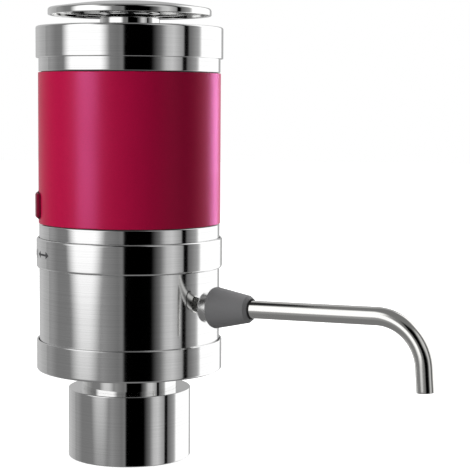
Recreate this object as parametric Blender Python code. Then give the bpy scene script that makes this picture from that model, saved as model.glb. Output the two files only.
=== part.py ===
"""Wine preservation dispenser, modelled as an assembly of separate solids.

The dispenser stands on an open bottle. A battery motor turns a small three chamber diaphragm
pump, which presses air into the bottle, and the wine rises through the neck to a swivel spout.

Frame: metres, +Z up along the body's axis, +X along the spout. The origin is the middle of the
flat face that seats on the bottle's lip, so the adapter's skirt hangs below it.
"""
import math

import bmesh
import bpy
from mathutils import Matrix, Vector

# Clearance between pieces that touch, and the overrun of every cut
GAP = 0.0003
OVERRUN = 0.002
WELD = 0.000001
SHARP_ANGLE = math.radians(32)

# Number of sides of round pieces, from the body's shells to the smallest pins
BODY_SIDES = 32
PIECE_SIDES = 20
SMALL_SIDES = 16
FINE_SIDES = 10

# Body: radius of the raised collars, and how the barrel and the coloured sleeve lie to it
COLLAR_RADIUS = 0.0375
COLLAR_STEP = 0.0011
SLEEVE_PROUD = 0.0002

# Bottle adapter
ADAPTER_RADIUS = 0.0248
ADAPTER_HEIGHT = 0.0280
ADAPTER_WALL = 0.0012
ADAPTER_DECK = 0.0015
ADAPTER_ROUNDING = 0.0008
ADAPTER_RIM_CHAMFER = 0.0003
SEAT_DEPTH = 0.0210

# Silicone stopper: ribbed bore that grips the bottle's lip
STOPPER_WALL = 0.0078
STOPPER_RIB_HEIGHT = 0.0009
STOPPER_RIB_WIDTH = 0.0014
STOPPER_RIB_COUNT = 3
STOPPER_RIB_SHARES = (0.30, 0.52, 0.74)
STOPPER_RECESS = 0.0015
STOPPER_MOUTH_CHAMFER = 0.0018

# Ports through the stopper
WINE_PORT_OFFSET = 0.0060
AIR_PORT_OFFSET = 0.0070
WINE_TUBE_RADIUS = 0.0030
WINE_TUBE_BORE = 0.0020
NIPPLE_REACH = 0.0120
NIPPLE_BARB_HEIGHT = 0.0020
NIPPLE_BARB_STEP = 0.0005
NIPPLE_FLANGE_RADIUS = 0.0050
NIPPLE_FLANGE = 0.0012
NIPPLE_STEM = 0.0076
AIR_TUBE_RADIUS = 0.0013
AIR_TUBE_BORE = 0.0006
AIR_FLANGE_RADIUS = 0.0028
AIR_FLANGE = 0.0010
AIR_STEM = 0.0045
AIR_BILL_LENGTH = 0.0034
AIR_BILL_TIP = 0.0005

# Neck between the adapter and the body
NECK_RADIUS = 0.0193
NECK_HEIGHT = 0.0078
NECK_SPIGOT_RADIUS = 0.0146
NECK_BORE = 0.0130
NECK_NUT_RADIUS = 0.0185
NECK_NUT_HEIGHT = 0.0030
NECK_NUT_NOTCH = 0.0030
NECK_NUT_NOTCH_DEPTH = 0.0012
NECK_NUT_NOTCHES = 4

# Base collar, a pan that carries the barrel
BASE_COLLAR_HEIGHT = 0.0124
BASE_FLOOR = 0.0020
BASE_LEDGE_HEIGHT = 0.0060
BASE_LEDGE_WIDTH = 0.0031
BASE_LOWER_ROUNDING = 0.0016
COLLAR_CHAMFER = 0.0004

# Barrel of the pump housing and the bulkhead above the pump
BARREL_HEIGHT = 0.0291
BARREL_WALL = 0.0012
BULKHEAD = 0.0020
BULKHEAD_SEAT = 0.0018
BULKHEAD_SEAT_WIDTH = 0.0020

# Twist ring that joins the pump housing to the head
LOCK_RING_HEIGHT = 0.0120
LOCK_RING_ROUNDING = 0.0008
LOCK_LIP = 0.0014
LOCK_LIP_REACH = 0.0013
GASKET_WIDTH = 0.0034

# Head: steel bands, coloured sleeve and the tube inside them
LOWER_BAND_HEIGHT = 0.0057
SLEEVE_OVER_CELLS = 0.0097
UPPER_BAND_HEIGHT = 0.0057
UPPER_BAND_TUCK = 0.0060
BAND_WALL = 0.0009
SLEEVE_CHAMFER = 0.0002
CHASSIS_WALL = 0.0018

# Battery cap, its hub and the ring handle
CAP_HEIGHT = 0.01255
CAP_PLATE = 0.0020
CAP_ROUNDING = 0.0009
CAP_GASKET = 0.0010
CAP_GASKET_WIDTH = 0.0050
HUB_RADIUS = 0.0120
HUB_HEIGHT = 0.00455
HUB_FLANGE = 0.00365
HUB_NECK_RADIUS = 0.0090
HUB_SPIGOT_RADIUS = 0.0050
HANDLE_INSET = 0.0048
HANDLE_HEIGHT = 0.0056
HANDLE_SKIRT = 0.0029
HANDLE_WALL = 0.0012
HANDLE_ROUNDING = 0.0009
HANDLE_FLAT_RADIUS = 0.0070
HANDLE_DOME_POWER = 1.5
HANDLE_BOSS_RISE = 0.0006
HANDLE_TAP_DEPTH = 0.0024
HANDLE_OUTER_STEPS = 4
HANDLE_INNER_STEPS = 2
SCREW_HEAD_RADIUS = 0.0052
SCREW_HEAD = 0.0020
SCREW_SHOULDER_RADIUS = 0.0030
SCREW_SHANK_RADIUS = 0.0019

# Battery cells and their cartridge
CELL_COUNT = 6
CELL_RADIUS = 0.00725
CELL_LENGTH = 0.0505
CELL_NUB_RADIUS = 0.00275
CELL_NUB = 0.0010
CELL_SPACING = 0.0010
CARTRIDGE_RADIUS = 0.0236
CARTRIDGE_TOP = 0.0025
CARTRIDGE_BOTTOM = 0.0020
CARTRIDGE_COLUMN = 0.0100
CARTRIDGE_FLUTE_STEPS = 10
CONTACT = 0.0004
CONTACT_WIDTH = 0.0060
STRAP_CORNER_STEPS = 2
CONTACT_PIN_RADIUS = 0.0012
CONTACT_PIN_PROUD = 0.0006

# Battery well, which hangs in the head
WELL_WALL = 0.0015
WELL_FLOOR = 0.0020
WELL_FLANGE = 0.0015
WELL_CLEARANCE = 0.0004
WELL_CONTACT_RADIUS = 0.0020
WELL_CONTACT_HEAD = 0.0004
WELL_CONTACT_STEM_RADIUS = 0.0009
POST_RADIUS = 0.0025
POST_INSET = 0.0035
POST_COUNT = 3
POST_TURN = math.radians(60)

# Power button on the sleeve's far side, with its switch and board
BUTTON_ANGLE = math.radians(217)
BUTTON_WIDTH = 0.0160
BUTTON_HEIGHT = 0.0101
BUTTON_CORNER = 0.0020
BUTTON_PROUD = 0.00175
BUTTON_ABOVE_SLEEVE_EDGE = 0.0072
BUTTON_TRAVEL = 0.0008
BUTTON_FLANGE = 0.0015
BUTTON_FLANGE_BORDER = 0.0012
BUTTON_DEPTH = 0.0070
BUTTON_CORNER_STEPS = 4
SWITCH_WIDTH = 0.0060
SWITCH_DEPTH = 0.0060
SWITCH_HEIGHT = 0.0045
PLUNGER_RADIUS = 0.0015
PLUNGER_PROUD = 0.0011
PLUNGER_SUNK = 0.0025
BOARD = 0.0016
BOARD_CLEARANCE = 0.0019

# Diaphragm pump, off the body's axis, with its motor above it
PUMP_OFFSET = 0.0100
PUMP_RADIUS = 0.0135
PUMP_WALL = 0.0013
PUMP_DECK = 0.0020
PUMP_DECK_FEET_HEIGHT = 0.0056
PUMP_DECK_FOOT_RADIUS = 0.0026
PUMP_DECK_FOOT_INSET = 0.0060
PUMP_DECK_FEET = 4
PUMP_DECK_RIM = 0.0018
PUMP_DECK_RIM_WALL = 0.0013
PUMP_HEAD = 0.0054
NOZZLE_RADIUS = 0.0020
NOZZLE_LENGTH = 0.0035
NOZZLE_TAIL = 0.0030
VALVE_PLATE = 0.0018
VALVE_HOLE_RADIUS = 0.0010
CHAMBER_COUNT = 3
CHAMBER_RADIUS = 0.0042
CHAMBER_RING = 0.0070
CHAMBER_HEIGHT = 0.0040
CHAMBER_TAPER_SHARE = 0.80
DIAPHRAGM = 0.0012
WOBBLE_PLATE = 0.0016
WOBBLE_ARM_RADIUS = 0.0100
WOBBLE_WAIST_RADIUS = 0.0045
WOBBLE_BOSS_RADIUS = 0.0026
WOBBLE_BOSS = 0.0018
WOBBLE_SIDES = 36
FRAME_CAP = 0.0015
FRAME_HEIGHT = 0.0168
FRAME_WINDOW_WIDTH = 0.0120
FRAME_WINDOW_HEIGHT = 0.0070
ECCENTRIC_RADIUS = 0.0046
ECCENTRIC_HEIGHT = 0.0042
CRANK_OFFSET = 0.0024
CRANK_PIN_RADIUS = 0.0006
CRANK_PIN_TIP_RISE = 0.0004
SHAFT_RADIUS = 0.0010
SHAFT_SUNK = 0.0050
MOTOR_RADIUS = 0.0120
MOTOR_LENGTH = 0.0250
MOTOR_EDGE = 0.0012
MOTOR_BOSS_RADIUS = 0.0030
MOTOR_BOSS = 0.0012
MOTOR_CAP = 0.0020
MOTOR_CAP_RADIUS = 0.0100
TERMINAL_OFFSET = 0.0062
TERMINAL_WIDTH = 0.0024
TERMINAL_THICKNESS = 0.0006
TERMINAL_HEIGHT = 0.0022
MOTOR_PIN_RADIUS = 0.0010

# Hoses from the pump to the stopper and from the stopper to the spout
AIR_HOSE_RADIUS = 0.0023
AIR_HOSE_BORE = 0.0016
WINE_HOSE_RADIUS = 0.0043
WINE_HOSE_BORE = 0.0033
HOSE_START_STRAIGHT = 0.0002
HOSE_STEPS = 4
HOSE_GRIP = 0.0045
DECK_WINDOW_RADIUS = 0.0058

# Spout: boss through the barrel, elbow inside it, grey cone and steel pipe outside
SPOUT_HEIGHT = 0.0411
SPOUT_TILT = math.radians(1.6)
BOSS_RADIUS = 0.00575
BOSS_PROUD = 0.0034
BOSS_SPIGOT_RADIUS = 0.0044
BOSS_SPIGOT = 0.0050
BOSS_NUT = 0.0030
BOSS_NUT_FLATS = 0.0160
ELBOW_OFFSET = 0.0095
ELBOW_BEND = 0.0070
ELBOW_LEG = 0.0060
ELBOW_STEPS = 5
CONE_BACK_RADIUS = 0.0082
CONE_TIP_RADIUS = 0.0051
CONE_LENGTH = 0.0174
CONE_BACK_ROUNDING = 0.0009
CONE_TIP_ROUNDING = 0.0012
PIPE_RADIUS = 0.0035
PIPE_WALL = 0.0005
PIPE_STRAIGHT = 0.0652
PIPE_BEND = 0.0190
PIPE_BEND_ANGLE = math.radians(87.3)
PIPE_END_STRAIGHT = 0.0092
PIPE_BEND_STEPS = 8
BEAD_HEIGHT = 0.0005
BEAD_WIDTH = 0.0010
BEAD_EDGE = 0.0002

# Finishes: base colour, roughness and metallic value
FINISHES = {
    "brushed_steel": ((0.62, 0.61, 0.60), 0.30, 1.0),
    "polished_steel": ((0.78, 0.77, 0.75), 0.10, 1.0),
    "zinc_steel": ((0.55, 0.55, 0.56), 0.38, 1.0),
    "crimson_lacquer": ((0.46, 0.012, 0.070), 0.30, 0.35),
    "dark_red_plastic": ((0.16, 0.004, 0.018), 0.35, 0.0),
    "grey_plastic": ((0.14, 0.14, 0.145), 0.60, 0.0),
    "black_plastic": ((0.03, 0.03, 0.032), 0.50, 0.0),
    "white_plastic": ((0.75, 0.75, 0.73), 0.45, 0.0),
    "clear_silicone": ((0.66, 0.67, 0.66), 0.55, 0.0),
    "black_rubber": ((0.02, 0.02, 0.02), 0.75, 0.0),
    "brass": ((0.72, 0.52, 0.22), 0.28, 1.0),
    "cell_wrap": ((0.08, 0.10, 0.13), 0.35, 0.0),
    "board_green": ((0.02, 0.16, 0.07), 0.45, 0.0),
}

# Radii that follow from the sizes above
barrel_radius = COLLAR_RADIUS - COLLAR_STEP
barrel_inner = barrel_radius - BARREL_WALL
sleeve_radius = barrel_radius + SLEEVE_PROUD
shell_inner = barrel_radius - BAND_WALL
base_inner = barrel_radius + GAP
base_low_inner = base_inner - BASE_LEDGE_WIDTH
lip_inner = base_inner - LOCK_LIP_REACH
chassis_radius = shell_inner - GAP
chassis_inner = chassis_radius - CHASSIS_WALL
well_inner = CARTRIDGE_RADIUS + WELL_CLEARANCE
well_radius = well_inner + WELL_WALL
cell_ring = (CELL_RADIUS + CELL_SPACING / 2) / math.sin(math.pi / CELL_COUNT)
column_bore = SCREW_HEAD_RADIUS + GAP + GAP
button_face = sleeve_radius + BUTTON_PROUD
flange_back = button_face - BUTTON_DEPTH - BUTTON_FLANGE
board_radius = flange_back - BOARD_CLEARANCE
pump_deck_radius = base_low_inner - GAP
handle_radius = COLLAR_RADIUS - HANDLE_INSET

stopper_radius = ADAPTER_RADIUS - ADAPTER_WALL - GAP
stopper_bore = stopper_radius - STOPPER_WALL

# Heights that follow from the sizes above
adapter_rim = -SEAT_DEPTH
adapter_top = adapter_rim + ADAPTER_HEIGHT
deck_underside = adapter_top - ADAPTER_DECK
stopper_top = deck_underside - GAP
base_bottom = adapter_top + NECK_HEIGHT
base_floor = base_bottom + BASE_FLOOR
base_ledge = base_bottom + BASE_LEDGE_HEIGHT
base_top = base_bottom + BASE_COLLAR_HEIGHT
lock_bottom = base_top + BARREL_HEIGHT
lock_top = lock_bottom + LOCK_RING_HEIGHT
lip_bottom = lock_bottom + (LOCK_RING_HEIGHT - LOCK_LIP) / 2
lip_top = lip_bottom + LOCK_LIP
barrel_top = lip_bottom - GAP
sleeve_bottom = lock_top + LOWER_BAND_HEIGHT
sleeve_top = sleeve_bottom + CELL_LENGTH + SLEEVE_OVER_CELLS
cap_bottom = sleeve_top + UPPER_BAND_HEIGHT
cap_top = cap_bottom + CAP_HEIGHT
cap_underside = cap_top - CAP_PLATE
well_flange_top = cap_underside - GAP - CAP_GASKET - GAP
well_flange_bottom = well_flange_top - WELL_FLANGE
chassis_top = well_flange_bottom - GAP
chassis_bottom = lip_top
handle_bottom = cap_top + HUB_HEIGHT
handle_top = handle_bottom + HANDLE_HEIGHT
handle_edge = handle_bottom + HANDLE_SKIRT
handle_boss_bottom = handle_bottom + HANDLE_BOSS_RISE
cartridge_top = cap_underside - GAP
cell_room = CELL_LENGTH + 2 * (CONTACT + GAP + GAP)
cartridge_bottom = cartridge_top - CARTRIDGE_TOP - cell_room - CARTRIDGE_BOTTOM
well_floor_top = cartridge_bottom - GAP
well_floor_bottom = well_floor_top - WELL_FLOOR
well_contact_top = cartridge_bottom - CONTACT_PIN_PROUD - GAP
button_height = sleeve_bottom + BUTTON_ABOVE_SLEEVE_EDGE
board_bottom = button_height + SWITCH_HEIGHT / 2 + GAP
pump_deck_bottom = base_floor + GAP + PUMP_DECK_FEET_HEIGHT
pump_deck_top = pump_deck_bottom + PUMP_DECK
pump_head_bottom = pump_deck_top + GAP
valve_plate_bottom = pump_head_bottom + PUMP_HEAD + GAP
diaphragm_bottom = valve_plate_bottom + VALVE_PLATE + GAP
diaphragm_top = diaphragm_bottom + DIAPHRAGM
wobble_bottom = diaphragm_top + CHAMBER_HEIGHT + GAP
wobble_top = wobble_bottom + WOBBLE_PLATE
frame_bottom = diaphragm_top + GAP
frame_top = frame_bottom + FRAME_HEIGHT
motor_bottom = frame_top + GAP
motor_top = motor_bottom + MOTOR_LENGTH
motor_cap_top = motor_top + GAP + MOTOR_CAP
terminal_top = motor_cap_top + TERMINAL_HEIGHT
eccentric_top = frame_top - FRAME_CAP - GAP
eccentric_bottom = eccentric_top - ECCENTRIC_HEIGHT

# Reaches along the spout, from the body's axis
boss_shoulder = barrel_radius + BOSS_PROUD
boss_end = boss_shoulder + BOSS_SPIGOT
cone_back = boss_shoulder + GAP
cone_tip = cone_back + CONE_LENGTH
pipe_start = boss_end + GAP
bend_start = pipe_start + PIPE_STRAIGHT


def clear_scene():
    """Remove the objects that a new file holds."""
    for item in list(bpy.data.objects):
        bpy.data.objects.remove(item, do_unlink=True)


def finish(name):
    """Return the material of a finish, made the first time that it is asked for."""
    known = bpy.data.materials.get(name)
    if known:
        return known
    colour, roughness, metallic = FINISHES[name]
    made = bpy.data.materials.new(name)
    made.use_nodes = True
    made.diffuse_color = (*colour, 1)
    shader = made.node_tree.nodes["Principled BSDF"]
    shader.inputs["Base Color"].default_value = (*colour, 1)
    shader.inputs["Roughness"].default_value = roughness
    shader.inputs["Metallic"].default_value = metallic
    return made


def piece(name, shape, look=None, place=Matrix()):
    """Turn a bmesh into a named object with its finish, at its place."""
    bmesh.ops.recalc_face_normals(shape, faces=shape.faces)
    mesh = bpy.data.meshes.new(name)
    shape.to_mesh(mesh)
    shape.free()
    mesh.shade_smooth()
    mesh.set_sharp_from_angle(angle=SHARP_ANGLE)
    if look:
        mesh.materials.append(finish(look))
    made = bpy.data.objects.new(name, mesh)
    made.matrix_world = place
    bpy.context.scene.collection.objects.link(made)
    return made


def arc(centre_radius, centre_height, radius, start, end, steps):
    """Points of an arc in a turned outline, from angle start to angle end in degrees."""
    angles = [math.radians(start + (end - start) * step / steps) for step in range(steps + 1)]
    return [(centre_radius + radius * math.cos(a), centre_height + radius * math.sin(a)) for a in angles]


def turned(name, outline, look=None, sides=BODY_SIDES, place=Matrix()):
    """Spin a closed outline of radius and height pairs round the local Z axis."""
    shape = bmesh.new()
    points = [shape.verts.new((radius, 0, height)) for radius, height in outline]
    pairs = zip(points, points[1:] + points[:1])
    edges = [shape.edges.new(pair) for pair in pairs if pair[0].co.x + pair[1].co.x > 0]
    bmesh.ops.spin(shape, geom=points + edges, axis=(0, 0, 1), angle=math.tau, steps=sides, use_merge=True)
    bmesh.ops.remove_doubles(shape, verts=shape.verts, dist=WELD)
    poles = [vert for vert in shape.verts if vert.co.xy.length < WELD]
    bmesh.ops.dissolve_verts(shape, verts=poles)
    return piece(name, shape, look, place)


def cylinder(name, radius, bottom, top, look=None, sides=SMALL_SIDES, place=Matrix(), top_radius=None):
    """A closed cylinder or cone between two heights on the local Z axis."""
    upper = radius if top_radius is None else top_radius
    return turned(name, [(0, bottom), (radius, bottom), (upper, top), (0, top)], look, sides, place)


def tube(name, bore, radius, bottom, top, look, sides=BODY_SIDES, place=Matrix()):
    """A plain ring with square edges."""
    return turned(name, [(bore, bottom), (radius, bottom), (radius, top), (bore, top)], look, sides, place)


def extruded(name, outline, depth, look=None, place=Matrix()):
    """Extrude a flat outline of x and y pairs along the local Z axis."""
    shape = bmesh.new()
    face = shape.faces.new([shape.verts.new((x, y, 0)) for x, y in outline])
    grown = bmesh.ops.extrude_face_region(shape, geom=[face])["geom"]
    lifted = [item for item in grown if isinstance(item, bmesh.types.BMVert)]
    bmesh.ops.translate(shape, verts=lifted, vec=(0, 0, depth))
    return piece(name, shape, look, place)


def block(name, size_x, size_y, size_z, look=None, place=Matrix()):
    """A box on the local XY plane, centred in X and Y."""
    half_x, half_y = size_x / 2, size_y / 2
    corners = [(-half_x, -half_y), (half_x, -half_y), (half_x, half_y), (-half_x, half_y)]
    return extruded(name, corners, size_z, look, place)


def rounded_outline(width, height, corner, steps):
    """Corner points of a rounded rectangle, centred on the origin."""
    outline = []
    signs = [(1, 1), (-1, 1), (-1, -1), (1, -1)]
    for quarter, (side, rise) in enumerate(signs):
        x = side * (width / 2 - corner)
        y = rise * (height / 2 - corner)
        outline += arc(x, y, corner, quarter * 90, quarter * 90 + 90, steps)
    return outline


def swept_tube(name, stations, bore, look, sides, place=Matrix()):
    """Loft a bored tube through stations of x, z, heading and outer radius in the local XZ plane.

    The heading is measured from +Z towards +X, and each ring stands square to it.
    """
    shape = bmesh.new()
    outer_rings, inner_rings = [], []
    for x, z, heading, radius in stations:
        across = Vector((math.cos(heading), 0, -math.sin(heading)))
        centre = Vector((x, 0, z))
        for rings, ring_radius in ((outer_rings, radius), (inner_rings, bore)):
            turns = [math.tau * side / sides for side in range(sides)]
            spokes = [across * math.cos(turn) + Vector((0, math.sin(turn), 0)) for turn in turns]
            rings.append([shape.verts.new(centre + spoke * ring_radius) for spoke in spokes])
    loops = outer_rings + inner_rings[::-1]
    for ring, following in zip(loops, loops[1:] + loops[:1]):
        for side in range(sides):
            after = (side + 1) % sides
            shape.faces.new((ring[side], ring[after], following[after], following[side]))
    return piece(name, shape, look, place)


def cut(target, *cutters):
    """Cut closed shapes out of a piece."""
    combine(target, "DIFFERENCE", cutters)


def join(target, *additions):
    """Join closed shapes to a piece."""
    combine(target, "UNION", additions)


def combine(target, operation, tools):
    for tool in tools:
        tool.hide_render = True
        tool.display_type = "WIRE"
        modifier = target.modifiers.new(tool.name, "BOOLEAN")
        modifier.operation = operation
        modifier.solver = "EXACT"
        modifier.object = tool


def shift(x=0, y=0, z=0):
    return Matrix.Translation((x, y, z))


def turn(angle, axis="Z"):
    return Matrix.Rotation(angle, 4, axis)


# Places: local Z along the spout with X down, and local Z outwards through the button
spout_place = shift(z=SPOUT_HEIGHT) @ turn(math.pi / 2 - SPOUT_TILT, "Y")
button_place = turn(BUTTON_ANGLE) @ shift(z=button_height) @ turn(math.pi / 2, "Y")
pump_place = shift(x=-PUMP_OFFSET)


def build_adapter():
    """Steel cup that drops over the bottle's mouth, with a hole in its deck for the neck."""
    inner = ADAPTER_RADIUS - ADAPTER_WALL
    hole = NECK_SPIGOT_RADIUS + GAP
    outline = [
        (inner, adapter_rim),
        (ADAPTER_RADIUS - ADAPTER_RIM_CHAMFER, adapter_rim),
        (ADAPTER_RADIUS, adapter_rim + ADAPTER_RIM_CHAMFER),
        *arc(ADAPTER_RADIUS - ADAPTER_ROUNDING, adapter_top - ADAPTER_ROUNDING, ADAPTER_ROUNDING, 0, 90, 2),
        (hole, adapter_top),
        (hole, deck_underside),
        (inner, deck_underside),
    ]
    turned("bottle_adapter", outline, "brushed_steel")


def build_stopper():
    """Silicone stopper: a flat seat for the bottle's lip inside a skirt with gripping ribs."""
    skirt_bottom = adapter_rim + STOPPER_RECESS
    outline = [
        (0, stopper_top),
        (stopper_radius, stopper_top),
        (stopper_radius, skirt_bottom),
        (stopper_bore + STOPPER_MOUTH_CHAMFER, skirt_bottom),
        (stopper_bore, skirt_bottom + STOPPER_MOUTH_CHAMFER),
    ]
    for share in STOPPER_RIB_SHARES[:STOPPER_RIB_COUNT]:
        middle = skirt_bottom * (1 - share)
        outline.append((stopper_bore, middle - STOPPER_RIB_WIDTH / 2))
        outline.append((stopper_bore - STOPPER_RIB_HEIGHT, middle))
        outline.append((stopper_bore, middle + STOPPER_RIB_WIDTH / 2))
    outline += [(stopper_bore, 0), (0, 0)]
    stopper = turned("silicone_stopper", outline, "clear_silicone", PIECE_SIDES)
    reach = (-OVERRUN, stopper_top + OVERRUN)
    wine_hole = cylinder("wine_port_cut", WINE_TUBE_RADIUS + GAP, *reach, place=shift(x=WINE_PORT_OFFSET))
    air_hole = cylinder("air_port_cut", AIR_TUBE_RADIUS + GAP, *reach, sides=FINE_SIDES,
                        place=shift(x=-AIR_PORT_OFFSET))
    cut(stopper, wine_hole, air_hole)


def build_ports():
    """Nipple that takes the wine up from the bottle, and the one way valve that lets air in."""
    flange_bottom = stopper_top + GAP
    flange_top = flange_bottom + NIPPLE_FLANGE
    nipple = [
        (WINE_TUBE_BORE, -NIPPLE_REACH),
        (WINE_TUBE_RADIUS, -NIPPLE_REACH),
        (WINE_TUBE_RADIUS + NIPPLE_BARB_STEP, -NIPPLE_REACH + NIPPLE_BARB_HEIGHT),
        (WINE_TUBE_RADIUS, -NIPPLE_REACH + NIPPLE_BARB_HEIGHT),
        (WINE_TUBE_RADIUS, flange_bottom),
        (NIPPLE_FLANGE_RADIUS, flange_bottom),
        (NIPPLE_FLANGE_RADIUS, flange_top),
        (WINE_TUBE_RADIUS, flange_top),
        (WINE_TUBE_RADIUS, flange_top + NIPPLE_STEM),
        (WINE_TUBE_BORE, flange_top + NIPPLE_STEM),
    ]
    turned("wine_nipple", nipple, "polished_steel", FINE_SIDES, shift(x=WINE_PORT_OFFSET))
    air_flange_top = flange_bottom + AIR_FLANGE
    valve = [
        (AIR_TUBE_RADIUS, -GAP),
        (AIR_TUBE_RADIUS, flange_bottom),
        (AIR_FLANGE_RADIUS, flange_bottom),
        (AIR_FLANGE_RADIUS, air_flange_top),
        (AIR_TUBE_RADIUS, air_flange_top),
        (AIR_TUBE_RADIUS, air_flange_top + AIR_STEM),
        (AIR_TUBE_BORE, air_flange_top + AIR_STEM),
        (AIR_TUBE_BORE, -GAP),
        (0, -GAP),
        (0, -AIR_BILL_LENGTH),
        (AIR_BILL_TIP, -AIR_BILL_LENGTH),
    ]
    turned("air_valve", valve, "black_rubber", FINE_SIDES, shift(x=-AIR_PORT_OFFSET))


def build_neck():
    """Spool between the adapter and the base collar, held from inside by a notched ring nut."""
    spigot_top = base_floor + GAP + NECK_NUT_HEIGHT
    outline = [
        (NECK_BORE, deck_underside),
        (NECK_SPIGOT_RADIUS, deck_underside),
        (NECK_SPIGOT_RADIUS, adapter_top + GAP),
        (NECK_RADIUS, adapter_top + GAP),
        (NECK_RADIUS, base_bottom - GAP),
        (NECK_SPIGOT_RADIUS, base_bottom - GAP),
        (NECK_SPIGOT_RADIUS, spigot_top),
        (NECK_BORE, spigot_top),
    ]
    turned("neck_sleeve", outline, "polished_steel", BODY_SIDES)
    nut = tube("neck_nut", NECK_SPIGOT_RADIUS + GAP, NECK_NUT_RADIUS, base_floor + GAP, spigot_top,
               "zinc_steel", PIECE_SIDES)
    for index in range(NECK_NUT_NOTCHES):
        place = turn(math.tau * (index + 1 / 2) / NECK_NUT_NOTCHES) @ shift(
            x=NECK_NUT_RADIUS, z=base_floor - OVERRUN)
        notch = block(f"neck_nut_notch_{index + 1}", 2 * NECK_NUT_NOTCH_DEPTH, NECK_NUT_NOTCH,
                      NECK_NUT_HEIGHT + 2 * OVERRUN, place=place)
        cut(nut, notch)


def build_base_collar():
    """Pan under the body: rounded lower edge, a floor round the neck and a ledge for the barrel."""
    hole = NECK_SPIGOT_RADIUS + GAP
    lower_round = COLLAR_RADIUS - BASE_LOWER_ROUNDING
    outline = [
        (hole, base_bottom),
        *arc(lower_round, base_bottom + BASE_LOWER_ROUNDING, BASE_LOWER_ROUNDING, -90, 0, 2),
        (COLLAR_RADIUS, base_top - COLLAR_CHAMFER),
        (COLLAR_RADIUS - COLLAR_CHAMFER, base_top),
        (base_inner, base_top),
        (base_inner, base_ledge),
        (base_low_inner, base_ledge),
        (base_low_inner, base_floor),
        (hole, base_floor),
    ]
    turned("base_collar", outline, "brushed_steel")


def build_barrel():
    """Steel barrel round the pump, with the spout's hole and a seat for the bulkhead."""
    seat_top = barrel_top - BULKHEAD - GAP
    seat_inner = barrel_inner - BULKHEAD_SEAT_WIDTH
    outline = [
        (barrel_inner, base_ledge + GAP),
        (barrel_radius, base_ledge + GAP),
        (barrel_radius, barrel_top),
        (barrel_inner, barrel_top),
        (barrel_inner, seat_top),
        (seat_inner, seat_top),
        (seat_inner, seat_top - BULKHEAD_SEAT),
        (barrel_inner, seat_top - BULKHEAD_SEAT - BULKHEAD_SEAT_WIDTH),
    ]
    barrel = turned("lower_housing", outline, "brushed_steel")
    hole = cylinder("spout_hole_cut", BOSS_RADIUS + GAP, barrel_inner - BARREL_WALL - OVERRUN,
                    barrel_radius + OVERRUN, sides=PIECE_SIDES, place=spout_place)
    cut(barrel, hole)
    bulkhead = cylinder("bulkhead", barrel_inner - GAP, barrel_top - BULKHEAD, barrel_top,
                        "black_plastic", BODY_SIDES)
    motor_hole = cylinder("motor_hole_cut", MOTOR_RADIUS + GAP, barrel_top - BULKHEAD - OVERRUN,
                          barrel_top + OVERRUN, sides=PIECE_SIDES, place=pump_place)
    cut(bulkhead, motor_hole)


def build_lock_ring():
    """Twist ring with rounded edges, whose inner lip hangs on the barrel's top edge."""
    middle = COLLAR_RADIUS - LOCK_RING_ROUNDING
    outline = [
        (base_inner, lock_bottom),
        *arc(middle, lock_bottom + LOCK_RING_ROUNDING, LOCK_RING_ROUNDING, -90, 0, 2),
        *arc(middle, lock_top - LOCK_RING_ROUNDING, LOCK_RING_ROUNDING, 0, 90, 2),
        (base_inner, lock_top),
        (base_inner, lip_top),
        (lip_inner, lip_top),
        (lip_inner, lip_bottom),
        (base_inner, lip_bottom),
    ]
    turned("lock_ring", outline, "brushed_steel")
    gasket_radius = lip_inner - GAP
    tube("joint_gasket", gasket_radius - GASKET_WIDTH, gasket_radius, barrel_top + GAP,
         chassis_bottom - GAP, "black_rubber", PIECE_SIDES)


def build_head():
    """Inner tube of the head with its two steel bands and the coloured sleeve between them."""
    chassis = tube("chassis_tube", chassis_inner, chassis_radius, chassis_bottom, chassis_top,
                   "black_plastic")
    tube("lower_band", shell_inner, barrel_radius, lip_top + GAP, sleeve_bottom - GAP,
         "brushed_steel")
    tube("upper_band", shell_inner, barrel_radius, sleeve_top + GAP,
         cap_bottom + UPPER_BAND_TUCK, "brushed_steel")
    edge = sleeve_radius - SLEEVE_CHAMFER
    outline = [
        (shell_inner, sleeve_bottom),
        (edge, sleeve_bottom),
        (sleeve_radius, sleeve_bottom + SLEEVE_CHAMFER),
        (sleeve_radius, sleeve_top - SLEEVE_CHAMFER),
        (edge, sleeve_top),
        (shell_inner, sleeve_top),
    ]
    sleeve = turned("red_sleeve", outline, "crimson_lacquer")
    opening = rounded_outline(BUTTON_HEIGHT + 2 * GAP, BUTTON_WIDTH + 2 * GAP, BUTTON_CORNER + GAP,
                              BUTTON_CORNER_STEPS)
    depth = sleeve_radius - chassis_inner + BUTTON_DEPTH + OVERRUN
    window = extruded("button_window_cut", opening, depth,
                      place=button_place @ shift(z=sleeve_radius + OVERRUN - depth))
    cut(sleeve, window)
    cut(chassis, window)


def build_button():
    """Rocker shaped push button that follows the sleeve's curve, retained by a wider flange."""
    back = button_face - BUTTON_DEPTH
    outline = rounded_outline(BUTTON_HEIGHT, BUTTON_WIDTH, BUTTON_CORNER, BUTTON_CORNER_STEPS)
    rooted = back - BUTTON_FLANGE / 2
    button = extruded("power_button", outline, button_face + OVERRUN - rooted, "dark_red_plastic",
                      button_place @ shift(z=rooted))
    border = 2 * BUTTON_FLANGE_BORDER
    flange_outline = rounded_outline(BUTTON_HEIGHT + border, BUTTON_WIDTH + border, BUTTON_CORNER,
                                     BUTTON_CORNER_STEPS)
    flange = extruded("button_flange", flange_outline, BUTTON_FLANGE,
                      place=button_place @ shift(z=flange_back))
    join(button, flange)
    skin = cylinder("button_skin", button_face, button_height - BUTTON_HEIGHT,
                    button_height + BUTTON_HEIGHT, sides=4 * BODY_SIDES)
    combine(button, "INTERSECT", [skin])


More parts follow.
